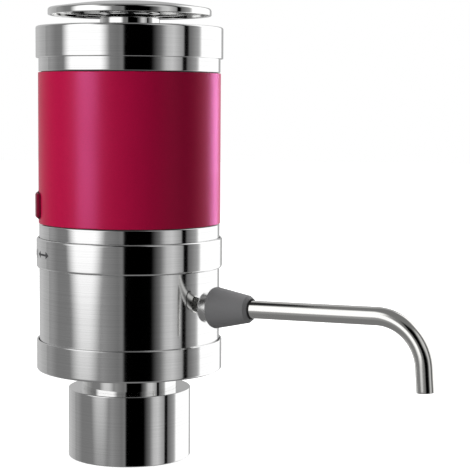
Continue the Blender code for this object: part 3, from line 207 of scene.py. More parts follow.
def clean(mesh):
    """Close seams and poles, turn the faces outwards and shade them smooth up to sharp edges."""
    shape = bmesh.new()
    shape.from_mesh(mesh)
    bmesh.ops.remove_doubles(shape, verts=shape.verts, dist=SEAM)
    bmesh.ops.dissolve_degenerate(shape, edges=shape.edges, dist=SEAM)
    bmesh.ops.recalc_face_normals(shape, faces=shape.faces)
    shape.to_mesh(mesh)
    shape.free()
    mesh.shade_smooth()
    mesh.set_sharp_from_angle(angle=SHARP)
    return mesh


def add_piece(name, mesh, look, body, stands_for=(), place=None):
    """Link a cleaned mesh with its finish as a piece that rides on a body."""
    if place is not None:
        mesh.transform(place)
    mesh.materials.append(finish(look))
    piece = bpy.data.objects.new(name, mesh)
    bpy.context.scene.collection.objects.link(piece)
    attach(piece, body)
    if stands_for:
        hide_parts(*stands_for)


def turned_piece(name, corners, look, body, stands_for=(), sides=None, place=None):
    """Turned piece from corners of radius, height and rounding."""
    sides = sides or bpy.context.scene.dispenser_sizes.body_sides
    mesh = clean(surface(name, turned_grid(held(rounded(corners)), sides)))
    add_piece(name, mesh, look, body, stands_for, place)


def dress(node, look):
    """Give a CAD node its finish."""
    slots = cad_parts[node].data.materials
    slots.clear()
    slots.append(finish(look))


# Nodes


class Tree:
    """Node tree that adds a node in one call. Its inputs are values or other nodes' sockets."""

    def __init__(self, tree):
        self.nodes, self.links = tree.nodes, tree.links

    def fill(self, node, inputs):
        """Give a node its inputs by name or number."""
        for name, given in inputs.items():
            if isinstance(given, bpy.types.NodeSocket):
                self.links.new(given, node.inputs[name])
            else:
                node.inputs[name].default_value = given

    def add(self, kind, inputs=None, **settings):
        """New shader node of a kind."""
        node = self.nodes.new("ShaderNode" + kind)
        for name, value in settings.items():
            setattr(node, name, value)
        self.fill(node, inputs or {})
        return node

    def maths(self, operation, *values):
        """Result of a sum, product or other operation."""
        return self.add("Math", dict(enumerate(values)), operation=operation).outputs[0]

    def span(self, value, low, high, to_low, to_high, smooth=False):
        """Value taken from one span to another and held at its ends."""
        limits = dict(enumerate((value, low, high, to_low, to_high)))
        kind = "SMOOTHSTEP" if smooth else "LINEAR"
        return self.add("MapRange", limits, interpolation_type=kind).outputs[0]

    def blend(self, factor, first, second):
        """Mix of two numbers."""
        return self.add("Mix", {"Factor": factor, "A": first, "B": second}).outputs["Result"]

    def tint(self, factor, colour, swing):
        """Colour that goes from a share darker to the same share brighter."""
        darker = [value * (1 - swing) for value in colour]
        brighter = [min(value * (1 + swing), 1) for value in colour]
        inputs = {"Factor": factor, "A": (*darker, 1), "B": (*brighter, 1)}
        return self.add("Mix", inputs, data_type="RGBA").outputs["Result"]

    def ramp(self, factor, stops, kind="LINEAR"):
        """Colour of a ramp whose stops each have a place and a colour."""
        node = self.add("ValToRGB", {0: factor})
        node.color_ramp.interpolation = kind
        elements = node.color_ramp.elements
        elements.remove(elements[-1])
        elements[0].position, elements[0].color = stops[0]
        for place, colour in stops[1:]:
            elements.new(place).color = colour
        return node.outputs[0]

    def where(self, kind="Object"):
        """Coordinates of the shaded point."""
        return self.add("TexCoord").outputs[kind]

    def grain(self, group, inputs):
        """Outputs of a group node on Object coordinates."""
        return self.add("Group", {"Vector": self.where(), **inputs}, node_tree=group).outputs

    def bump(self, shader, height, strength, depth):
        """Bump a shader's normal by a height."""
        bump = self.add("Bump", {"Strength": strength, "Distance": depth, "Height": height})
        self.fill(shader, {"Normal": bump.outputs[0]})


def made_once(store, name, make, *values):
    """Material or node group of a name, made the first time that it is asked for."""
    return store.get(name) or make(name, *values)


def new_material(name):
    """Material with its tree and its Principled node."""
    material = bpy.data.materials.new(name)
    material.use_nodes = True
    return material, Tree(material.node_tree), material.node_tree.nodes["Principled BSDF"]


def new_group(name, inputs, outputs):
    """Shader node group with named sockets, its tree, what it is given and where it ends."""
    group = bpy.data.node_groups.new(name, "ShaderNodeTree")
    for label, kind, value in inputs:
        socket = group.interface.new_socket(label, in_out="INPUT", socket_type="NodeSocket" + kind)
        if value is not None:
            socket.default_value = value
    for label, kind in outputs:
        group.interface.new_socket(label, in_out="OUTPUT", socket_type="NodeSocket" + kind)
    entry = group.nodes.new("NodeGroupInput")
    return group, Tree(group), entry.outputs, group.nodes.new("NodeGroupOutput")


def turned_grain(name):
    """Fine tool lines of a turned or brushed piece, and the soft marks of handling.

    The lines follow one number, height plus radius, so they run round the walls and in rings on the
    flat faces. Smudges are a coarse noise.
    """
    group, tree, given, leave = new_group(name, [
        ("Vector", "Vector", None), ("Lines per metre", "Float", 4000.0),
        ("Line drift", "Float", 12.0), ("Low roughness", "Float", 0.12),
        ("High roughness", "Float", 0.28), ("Smudge size", "Float", 45.0),
        ("Smudge share", "Float", 0.3),
    ], [("Height", "Float"), ("Roughness", "Float"), ("Lines", "Float")])
    x, y, z = tree.add("SeparateXYZ", {0: given["Vector"]}).outputs
    squares = [tree.maths("MULTIPLY", axis, axis) for axis in (x, y)]
    radius = tree.maths("SQRT", tree.maths("ADD", *squares))
    along = tree.maths("ADD", z, radius)
    course = tree.add("CombineXYZ", {
        0: tree.maths("MULTIPLY", x, given["Line drift"]),
        1: tree.maths("MULTIPLY", y, given["Line drift"]),
        2: tree.maths("MULTIPLY", along, given["Lines per metre"])})
    lines = tree.add("TexNoise", {
        "Scale": 1.0, "Detail": 3.0, "Roughness": 0.6, "Vector": course.outputs[0]}).outputs[0]
    smudge = tree.add("TexNoise", {
        "Detail": 4.0, "Vector": given["Vector"], "Scale": given["Smudge size"]}).outputs[0]
    smudge = tree.span(smudge, 0.35, 0.7, 0.0, 1.0, True)
    mark = tree.maths("MULTIPLY", smudge, given["Smudge share"])
    plain = tree.maths("MULTIPLY", lines, tree.maths("SUBTRACT", 1.0, given["Smudge share"]))
    rough = tree.span(tree.maths("ADD", plain, mark), 0.0, 1.0, given["Low roughness"],
                      given["High roughness"])
    tree.fill(leave, {"Height": lines, "Roughness": rough, "Lines": lines})
    return group


def moulded_grain(name):
    """Fine moulded texture: one noise for the grain's height and one that varies its sheen. The
    colour is darkened in the grain's hollows by painted shade.
    """
    group, tree, given, leave = new_group(name, [
        ("Vector", "Vector", None), ("Grain size", "Float", 2500.0),
        ("Low roughness", "Float", 0.4), ("High roughness", "Float", 0.55),
        ("Colour", "Color", (0.5, 0.5, 0.5, 1)), ("Shade", "Float", 0.9),
    ], [("Height", "Float"), ("Roughness", "Float"), ("Colour", "Color")])
    grain = tree.add("TexNoise", {
        "Detail": 2.0, "Vector": given["Vector"], "Scale": given["Grain size"]}).outputs[0]
    sheen = tree.add("TexNoise", {"Scale": 90.0, "Vector": given["Vector"]}).outputs[0]
    rough = tree.span(sheen, 0.3, 0.7, given["Low roughness"], given["High roughness"])
    # Painted shade: the colour is multiplied down to Shade where the grain is low, in its hollows.
    shaded = tree.add("Mix", {
        "Factor": 1.0, "A": given["Colour"], "B": tree.span(grain, 0.3, 0.7, given["Shade"], 1.0),
    }, data_type="RGBA", blend_type="MULTIPLY")
    tree.fill(leave, {"Height": grain, "Roughness": rough, "Colour": shaded.outputs["Result"]})
    return group


# Finishes


def colour_of(given):
    """Colour that is named in the settings, or a plain one as it is."""
    return getattr(bpy.context.scene.dispenser_finishes, given) if isinstance(given, str) else given


def metal(name, colour, low, high, lines, depth, strength, smudge, streak):
    """Metal with turned lines, whose brightness varies a little from line to line."""
    material, tree, shader = new_material(name)
    grain = tree.grain(made_once(bpy.data.node_groups, "Turned grain", turned_grain), {
        "Lines per metre": lines, "Low roughness": low, "High roughness": high,
        "Smudge share": smudge})
    bright = tree.span(grain["Lines"], 0.35, 0.65, 0.0, 1.0)
    tree.fill(shader, {"Metallic": 1.0, "Base Color": tree.tint(bright, colour_of(colour), streak),
                       "Roughness": grain["Roughness"]})
    tree.bump(shader, grain["Height"], strength, depth)
    return material


def moulded(name, colour, low, high, scale, depth, shade, gloss):
    """Moulded plastic or rubber with a fine grain and painted shade in the grain's hollows."""
    material, tree, shader = new_material(name)
    grain = tree.grain(made_once(bpy.data.node_groups, "Moulded grain", moulded_grain), {
        "Grain size": scale, "Low roughness": low, "High roughness": high,
        "Colour": (*colour_of(colour), 1), "Shade": shade})
    tree.fill(shader, {"Base Color": grain["Colour"], "Roughness": grain["Roughness"],
                       "Specular IOR Level": gloss})
    tree.bump(shader, grain["Height"], 0.25, depth)
    return material


def silicone(name, *values):
    """Silicone: moulded, with light that spreads inside it."""
    material = moulded(name, *values)
    Tree(material.node_tree).fill(material.node_tree.nodes["Principled BSDF"], {
        "Subsurface Weight": 0.4, "Subsurface Radius": (0.004, 0.004, 0.004),
        "Subsurface Scale": 0.6})
    return material


def lacquer(name, colour, flake_scale, swing):
    """Satin lacquer: fine flakes of uneven brightness, and soft marks that vary its sheen."""
    material, tree, shader = new_material(name)
    flakes = tree.add("TexVoronoi", {"Scale": flake_scale, "Vector": tree.where()})
    split = tree.add("SeparateColor", {0: flakes.outputs["Color"]}).outputs
    grain = tree.grain(made_once(bpy.data.node_groups, "Turned grain", turned_grain), {
        "Lines per metre": 1800.0, "Low roughness": 0.28, "High roughness": 0.34,
        "Smudge size": 30.0, "Smudge share": 0.7})
    tree.fill(shader, {"Base Color": tree.tint(split[0], colour_of(colour), swing),
                       "Roughness": grain["Roughness"], "Specular IOR Level": 0.12})
    tree.bump(shader, split[1], 0.04, 0.000004)
    return material


def drawn_steel(name, colour, low, high):
    """Polished tube, a little warmer, whose faint draw lines run along it."""
    material, tree, shader = new_material(name)
    red, green, blue = colour_of(colour)
    stretch = tree.add("Mapping", {"Scale": (60, 1400, 1400), 0: tree.where()})
    noise = tree.add("TexNoise", {"Scale": 1.0, "Vector": stretch.outputs[0]}).outputs[0]
    tree.fill(shader, {"Metallic": 1.0, "Base Color": (red, green * 0.995, blue * 0.975, 1),
                       "Roughness": tree.span(noise, 0.3, 0.7, low, high)})
    tree.bump(shader, noise, 0.08, 0.000002)
    return material


def laminate(name):
    """Green board with a brick pattern of pale copper tracks under the solder mask."""
    material, tree, shader = new_material(name)
    tracks = tree.add("TexBrick", {
        "Scale": 150.0, "Mortar Size": 0.06, "Color1": (0.012, 0.13, 0.055, 1),
        "Color2": (0.014, 0.15, 0.062, 1), "Mortar": (0.05, 0.28, 0.12, 1),
        "Vector": tree.where()})
    tree.fill(shader, {"Base Color": tracks.outputs["Color"],
                       "Roughness": tree.span(tracks.outputs["Fac"], 0.0, 1.0, 0.42, 0.28)})
    return material


def cell_wrap(name):
    """Printed film of a battery cell, read from the share of its length: bare minus end, dark film
    with a pale ring, copper coloured plus end and bare plus cap."""
    film_start, ring_start, ring_end, copper_start, cap_start = 0.012, 0.62, 0.64, 0.66, 0.955
    film = (0.035, 0.040, 0.048, 1)
    material, tree, shader = new_material(name)
    share = tree.add("Attribute", attribute_name="cell_share").outputs["Fac"]
    colour = tree.ramp(share, [
        (0.0, (0.62, 0.62, 0.62, 1)), (film_start, film), (ring_start, (0.50, 0.50, 0.48, 1)),
        (ring_end, film), (copper_start, (0.62, 0.30, 0.10, 1)), (cap_start, (0.60, 0.60, 0.60, 1)),
    ], "CONSTANT")
    bare = tree.maths("MAXIMUM", tree.maths("GREATER_THAN", share, cap_start),
                      tree.maths("LESS_THAN", share, film_start))
    grain = tree.grain(made_once(bpy.data.node_groups, "Turned grain", turned_grain), {
        "Low roughness": 0.2, "High roughness": 0.34})
    tree.fill(shader, {"Base Color": colour, "Metallic": bare, "Roughness": grain["Roughness"]})
    return material


FINISHES = {
    # Metals: colour, lowest and highest roughness, lines per metre, their depth and strength, the
    # share of smudges, and how far the brightness varies from line to line
    "Brushed steel": (metal, "steel", 0.045, 0.10, 4000.0, 0.000003, 0.25, 0.3, 0.045),
    "Satin steel": (metal, "steel", 0.05, 0.12, 5200.0, 0.000004, 0.28, 0.25, 0.05),
    "Polished steel": (metal, "polish", 0.02, 0.06, 2600.0, 0.000002, 0.1, 0.6, 0.02),
    "Boss steel": (metal, "polish", 0.22, 0.32, 3000.0, 0.000003, 0.2, 0.5, 0.03),
    "Zinc plated steel": (metal, (0.58, 0.59, 0.60), 0.28, 0.5, 2200.0, 0.00001, 0.3, 0.6, 0.1),
    "Brass contact": (metal, (0.78, 0.58, 0.27), 0.18, 0.34, 6000.0, 0.000004, 0.3, 0.4, 0.08),
    "Drawn steel": (drawn_steel, "polish", 0.09, 0.17),
    # Plastics and rubbers: colour, lowest and highest roughness, scale and depth of the grain, how
    # dark the painted shade in its hollows is, and gloss
    "Grey moulded plastic": (moulded, "cone", 0.5, 0.62, 3200.0, 0.00001, 0.9, 0.5),
    "Dark red plastic": (moulded, "button", 0.3, 0.4, 1800.0, 0.000004, 0.95, 0.08),
    "Black moulded plastic": (
        moulded, (0.030, 0.030, 0.033), 0.42, 0.6, 2500.0, 0.00001, 0.9, 0.5),
    "Cartridge plastic": (moulded, (0.10, 0.10, 0.11), 0.45, 0.6, 2500.0, 0.00001, 0.9, 0.5),
    "White moulded plastic": (moulded, (0.78, 0.78, 0.75), 0.38, 0.52, 2200.0, 0.00001, 0.9, 0.5),
    "Black rubber": (moulded, (0.018, 0.018, 0.019), 0.65, 0.85, 1500.0, 0.00002, 0.9, 0.5),
    "Etched mark": (moulded, (0.055, 0.055, 0.058), 0.5, 0.7, 4000.0, 0.00001, 0.9, 0.5),
    "Clear silicone": (silicone, (0.70, 0.71, 0.70), 0.35, 0.55, 600.0, 0.00002, 0.96, 0.5),
    # Colour, scale of the flakes and how far their brightness varies
    "Crimson lacquer": (lacquer, "sleeve", 5200.0, 0.07),
    "Board laminate": (laminate,),
    "Cell wrap": (cell_wrap,),
}


def finish(look):
    """Material of a finish."""
    make, *values = FINISHES[look]
    return made_once(bpy.data.materials, look, make, *values)


# Settings


class DispenserSizes(bpy.types.PropertyGroup):
    """Sizes that the solids don't give: roundings, marks and how finely pieces are divided."""

    edge: bpy.props.FloatProperty(
        name="Edge rounding", description="Radius of the broken edges of the steel shells",
        default=0.00035, min=0.00005, max=0.0008, unit="LENGTH")
    shoulder: bpy.props.FloatProperty(
        name="Collar rounding", description="Radius of the collars' outer edges",
        default=0.0008, min=0.0001, max=0.003, unit="LENGTH")
    body_sides: bpy.props.IntProperty(
        name="Body sides", description="Sides of the large turned pieces",
        default=192, min=32, max=512)
    small_sides: bpy.props.IntProperty(
        name="Small sides", description="Sides of the small turned pieces",
        default=64, min=16, max=256)
    mark_height: bpy.props.FloatProperty(
        name="Mark height", description="Height of the ticks on the twist ring",
        default=0.0036, min=0.001, max=0.008, unit="LENGTH")
    mark_angle: bpy.props.FloatProperty(
        name="Mark place", description="Angle of the marks about the body's axis",
        default=math.radians(227), subtype="ANGLE")


class SpoutSizes(bpy.types.PropertyGroup):
    """Sizes of the spout, measured along its own tilted axis from the body's axis."""

    height: bpy.props.FloatProperty(
        name="Height", description="Height of the spout's axis at the body's axis",
        default=0.0411, unit="LENGTH")
    tilt: bpy.props.FloatProperty(
        name="Tilt", description="Rise of the spout's axis", default=math.radians(1.6),
        subtype="ANGLE")
    shoulder: bpy.props.FloatProperty(
        name="Shoulder", description="Reach of the boss's shoulder", default=0.0398, unit="LENGTH")
    foot: bpy.props.FloatProperty(
        name="Foot", description="Radius of the rounding where the boss leaves the barrel",
        default=0.0005, unit="LENGTH")
    cone_tip: bpy.props.FloatProperty(
        name="Cone tip", description="Reach of the cone's tip", default=0.0570, unit="LENGTH")
    cone_back_radius: bpy.props.FloatProperty(
        name="Cone back radius", description="Radius of the cone at its wide end",
        default=0.0082, unit="LENGTH")
    cone_tip_radius: bpy.props.FloatProperty(
        name="Cone tip radius", description="Radius of the cone at its narrow end",
        default=0.0054, unit="LENGTH")
    pipe_radius: bpy.props.FloatProperty(
        name="Pipe radius", description="Outer radius of the pipe", default=0.0035, unit="LENGTH")
    pipe_bore: bpy.props.FloatProperty(
        name="Pipe bore", description="Inner radius of the pipe", default=0.0030, unit="LENGTH")
    bend_start: bpy.props.FloatProperty(
        name="Bend start", description="Reach of the pipe's bend", default=0.1103, unit="LENGTH")
    bend: bpy.props.FloatProperty(
        name="Bend radius", description="Radius of the bend's middle line", default=0.0190,
        unit="LENGTH")
    bend_angle: bpy.props.FloatProperty(
        name="Bend angle", description="How far the pipe turns down", default=math.radians(87.3),
        subtype="ANGLE")
    end_straight: bpy.props.FloatProperty(
        name="End straight", description="Straight length after the bend", default=0.0092,
        unit="LENGTH")


class DispenserFinishes(bpy.types.PropertyGroup):
    """Colours that a user would change."""

    steel: bpy.props.FloatVectorProperty(
        name="Steel", description="Colour of the brushed steel", default=(0.86, 0.86, 0.86),
        size=3, min=0, max=1, subtype="COLOR")
    polish: bpy.props.FloatVectorProperty(
        name="Polished steel", description="Colour of the polished steel",
        default=(0.88, 0.88, 0.875), size=3, min=0, max=1, subtype="COLOR")
    sleeve: bpy.props.FloatVectorProperty(
        name="Sleeve", description="Colour of the lacquered sleeve", default=(0.50, 0.0045, 0.058),
        size=3, min=0, max=1, subtype="COLOR")
    button: bpy.props.FloatVectorProperty(
        name="Button", description="Colour of the power button", default=(0.19, 0.002, 0.024),
        size=3, min=0, max=1, subtype="COLOR")
    cone: bpy.props.FloatVectorProperty(
        name="Cone", description="Colour of the spout's cone", default=(0.195, 0.195, 0.199),
        size=3, min=0, max=1, subtype="COLOR")


class StudioSettings(bpy.types.PropertyGroup):
    """Camera, lamps and the softboxes and black flags that the steel mirrors."""

    distance: bpy.props.FloatProperty(
        name="Camera distance", description="Distance from the camera to the body's axis",
        default=0.6187, unit="LENGTH")
    camera_height: bpy.props.FloatProperty(
        name="Camera height", description="Height of the camera in the part's frame",
        default=0.1235, unit="LENGTH")
    focal: bpy.props.FloatProperty(
        name="Focal length", description="Focal length in millimetres on a 36 mm sensor",
        default=117.08)
    yaw: bpy.props.FloatProperty(
        name="Yaw", description="Turn of the camera to the right", default=math.radians(3.956),
        subtype="ANGLE")
    pitch: bpy.props.FloatProperty(
        name="Pitch", description="Downward tilt of the camera", default=math.radians(5.032),
        subtype="ANGLE")
    roll: bpy.props.FloatProperty(
        name="Roll", description="Roll of the camera", default=math.radians(0.386),
        subtype="ANGLE")
    key: bpy.props.FloatProperty(
        name="Key lamp", description="Power of the large lamp on the left", default=10.3,
        unit="POWER")
    rim: bpy.props.FloatProperty(
        name="Rim lamp", description="Power of the lamp behind the object on the right",
        default=14.0, unit="POWER")
    top: bpy.props.FloatProperty(
        name="Top lamp", description="Power of the lamp over the spout's cone", default=9.0,
        unit="POWER")
    left_glint: bpy.props.FloatProperty(
        name="Left glint", description="Power of the lamp mirrored by the sleeve on the left",
        default=13.5, unit="POWER")
    right_glint: bpy.props.FloatProperty(
        name="Right glint", description="Power of the lamp mirrored by the sleeve on the right",
        default=4.2, unit="POWER")
    ambient: bpy.props.FloatProperty(
        name="Ambient", description="Strength of the even light from all round", default=0.05)
    bands: bpy.props.FloatProperty(
        name="Softboxes", description="Strength of the mirrored softboxes", default=1.18)


# Pieces


class DISPENSER_OT_adapter(bpy.types.Operator):
    """Steel cup over the bottle's mouth, with its neck"""

    bl_idname = "dispenser.adapter"
    bl_label = "Bottle adapter"

    def execute(self, context):
        edge = context.scene.dispenser_sizes.edge
        low, high = node_span("bottle_adapter")
        radius, neck = node_radius("bottle_adapter"), node_radius("neck_sleeve")
        inner, hole, deck = radius - WALL, neck - NECK_STEP, high - 0.0015
        turned_piece("adapter_cup", [
            (inner, low, edge), (radius, low, edge), (radius, high, edge), (hole, high, edge),
            (hole, deck, edge), (inner, deck, edge * 2),
        ], "Brushed steel", "body", ["bottle_adapter"])
        seat, top = high + 0.00002, node_span("base_collar")[0] - GAP
        low, high = node_span("neck_sleeve")
        spigot, bore = neck - 0.0047, neck - 0.0063
        turned_piece("neck_spool", [
            (bore, low, 0), (spigot, low, 0), (spigot, seat, 0), (neck, seat, 0),
            (neck, top, edge), (spigot, top, 0), (spigot, high, 0), (bore, high, 0),
        ], "Polished steel", "body", ["neck_sleeve"])
        return {"FINISHED"}


class DISPENSER_OT_stopper(bpy.types.Operator):
    """Silicone stopper with gripping ribs, wine nipple and one way air valve"""

    bl_idname = "dispenser.stopper"
    bl_label = "Stopper and ports"

    def execute(self, context):
        self.skirt(context.scene.dispenser_sizes.edge)
        sides = context.scene.dispenser_sizes.small_sides
        bore, radius, flange, step = 0.0020, 0.0030, 0.0035, 0.0020
        self.port("nipple_tube", "wine_nipple", "Polished steel", "polished_steel", 0.0060, sides, [
            (bore, 0, 0.0002), (radius, 0, 0.0003), (flange, step, 0.0002), (radius, step, 0),
        ], [(radius, 0.0002), (bore, 0.0002)])
        lips, radius, taper = 0.0006, 0.0013, 0.0031
        self.port("valve_bill", "air_valve", "Black rubber", "black_rubber", -0.0070, sides, [
            (0, 0, 0), (lips, 0, 0.0001), (radius, taper, 0.0002),
        ], [(radius, 0.0002), (0, 0)])
        return {"FINISHED"}

    def skirt(self, edge):
        """Hollow stopper with a lead-in below and three ribs inside."""
        low, high = node_span("silicone_stopper")
        radius, bore = node_radius("silicone_stopper"), 0.0155
        lead, rib_depth, rib_half = 0.0018, 0.0009, 0.0009
        corners = [(0, high, 0), (radius, high, edge), (radius, low, edge),
                   (bore + lead, low, edge * 2), (bore, low + lead, edge)]
        for share in (0.30, 0.52, 0.74):
            middle = low * (1 - share)
            corners += [(bore, middle - rib_half, edge / 2), (bore - rib_depth, middle, edge * 1.4),
                        (bore, middle + rib_half, edge / 2)]
        corners += [(bore, 0, edge * 2), (0, 0, 0)]
        turned_piece("stopper_skirt", corners, "Clear silicone", "body", ["silicone_stopper"])

    def port(self, name, node, look, slot, offset, sides, foot, head):
        """Small turned port: its foot is measured from the CAD node's lowest height, and its head
        lies at the highest."""
        low, high = node_span(node)
        corners = [(reach, low + rise, rounding) for reach, rise, rounding in foot]
        corners += [(reach, high, rounding) for reach, rounding in head]
        turned_piece(name, corners, look, "body", [node], sides,
                     Matrix.Translation((offset, 0, 0)))


class DISPENSER_OT_housing(bpy.types.Operator):
    """Base collar, barrel and the twist ring above it"""

    bl_idname = "dispenser.housing"
    bl_label = "Pump housing"

    def execute(self, context):
        sizes = context.scene.dispenser_sizes
        edge, shoulder = sizes.edge, sizes.shoulder
        barrel = node_radius("lower_housing")
        fit, seat, tongue = barrel + GAP, barrel - 0.0028, barrel - 0.0010
        low, high = node_span("base_collar")
        collar, hole = node_radius("base_collar"), node_radius("neck_sleeve") - NECK_STEP
        floor, ledge = low + 0.0020, low + 0.0060
        turned_piece("base_pan", [
            (hole, low, edge), (collar, low, shoulder), (collar, high, edge), (fit, high, edge),
            (fit, ledge, 0), (seat, ledge, 0), (seat, floor, 0), (hole, floor, 0),
        ], "Satin steel", "body", ["base_collar"])
        corners = tube_corners(barrel - WALL, barrel, *node_span("lower_housing"), 0, edge)
        turned_piece("barrel_tube", corners, "Satin steel", "body", ["lower_housing"])
        low, high = node_span("lock_ring")
        ring, half_tongue = node_radius("lock_ring"), 0.0007
        middle = (low + high) / 2
        below, above = middle - half_tongue, middle + half_tongue
        turned_piece("twist_ring", [
            (fit, low, edge), (ring, low, shoulder), (ring, high, shoulder), (fit, high, edge),
            (fit, above, 0), (tongue, above, 0), (tongue, below, 0), (fit, below, 0),
        ], "Brushed steel", "lock_ring", ["lock_ring"])
        return {"FINISHED"}


class DISPENSER_OT_marks(bpy.types.Operator):
    """Plain ticks and a double arrow that show which way the ring twists"""

    bl_idname = "dispenser.marks"
    bl_label = "Twist marks"

    def execute(self, context):
        sizes = context.scene.dispenser_sizes
        low, high = node_span("lock_ring")
        radius, middle = node_radius("lock_ring"), (low + high) / 2
        thick, pitch, clear, length, head = (
            size / radius for size in (0.0006, 0.0024, 0.0022, 0.0105, 0.0026))
        tall = sizes.mark_height / 2
        short, wing, shaft = tall * 0.6, tall * 0.8, tall * 0.22
        plates = []
        for step in range(4):
            angle = sizes.mark_angle - step * pitch
            half = tall if step % 3 == 0 else short
            plates.append(((angle - thick / 2, angle + thick / 2), (half, half)))
        start = sizes.mark_angle + clear
        end = start + length
        plates += [((start, start + head), (0, wing)), ((start + head, end - head), (shaft, shaft)),
                   ((end - head, end), (wing, 0))]
        parts = [self.plate(ends, halves, radius, middle) for ends, halves in plates]
        add_piece("twist_marks", clean(joined("twist_marks", parts)), "Etched mark", "lock_ring")
        return {"FINISHED"}

    def plate(self, ends, halves, radius, middle):
        """Mark whose half height runs evenly from one end's to the other's."""
        sunk, thick = 0.00001, 0.00003
        angles = np.linspace(ends[0], ends[1], 9)
        half_heights = np.concatenate([[0], np.interp(angles, ends, halves), [0]])
        angles = np.concatenate([angles[:1], angles, angles[-1:]])
        grid = strip_grid(angles, half_heights, radius - sunk, middle, thick)
        return surface("mark", grid, False)


class DISPENSER_OT_head(bpy.types.Operator):
    """Steel bands with the lacquered sleeve between them"""

    bl_idname = "dispenser.head"
    bl_label = "Bands and sleeve"

    def execute(self, context):
        edge = context.scene.dispenser_sizes.edge
        band, sleeve = node_radius("lower_band"), node_radius("red_sleeve")
        inner = band - 0.0009
        for name, node in (("band_below", "lower_band"), ("band_above", "upper_band")):
            turned_piece(name, tube_corners(inner, band, *node_span(node), 0, edge),
                         "Brushed steel", "body", [node])
        corners = tube_corners(inner, sleeve, *node_span("red_sleeve"), 0, edge * 0.7)
        turned_piece("lacquered_sleeve", corners, "Crimson lacquer", "body", ["red_sleeve"])
        return {"FINISHED"}


class DISPENSER_OT_button(bpy.types.Operator):
    """Power button that follows the sleeve's curve, with a dark joint round it"""

    bl_idname = "dispenser.button"
    bl_label = "Power button"

    def execute(self, context):
        low, high = node_span("power_button")
        face, middle = node_radius("red_sleeve") + 0.0013, (low + high) / 2
        width, height, corner = 0.0160, high - low - 0.0024, 0.0020
        back, crown, flat = -0.0062, 0.0009, 0.0016
        place = Matrix.Rotation(BUTTON_ANGLE, 4, "Z")
        profile = rounded([
            (height / 2, back, 0), (0.0, back, 0), (0.0, 0.0, crown),
            *[(inset, 0.0, 0) for inset in np.linspace(flat, height / 2, 9)]], 6, False)
        grid = self.pad(width, height, corner, profile, face, middle).transpose(1, 0, 2)
        add_piece("button_cap", clean(surface("button_cap", grid, False)), "Dark red plastic",
                  "button", ["power_button"], place)
        outside, inside, under, over = -0.0003, 0.0004, -0.00098, -0.00096
        joint = [(outside, under), (outside, over), (inside, over), (inside, under)]
        grid = self.pad(width, height, corner, joint, face, middle)
        add_piece("button_joint", clean(surface("button_joint", grid)), "Black rubber", "body",
                  place=place)
        return {"FINISHED"}

    def pad(self, width, height, corner, profile, face, middle):
        """Pad on a cylinder: the outline is a rounded rectangle of y and z, drawn in by the
        profile's inset, and a point's x is the face's circle at that y, lowered by its depth."""
        side = np.linspace(corner - width / 2, width / 2 - corner, 13)[1:-1]
        outline = rounded([
            (width / 2, height / 2, corner), *[(-y, height / 2, 0) for y in side],
            (-width / 2, height / 2, corner), (-width / 2, -height / 2, corner),
            *[(y, -height / 2, 0) for y in side], (width / 2, -height / 2, corner)], 8)
        inset, depth = np.asarray(profile, float).T[..., None]
        y = outline[:, 0] * (1 - 2 * inset / width)
        z = outline[:, 1] * (1 - 2 * inset / height)
        x = np.sqrt(face ** 2 - y ** 2) + depth
        return np.stack([x, y, z + middle], -1)


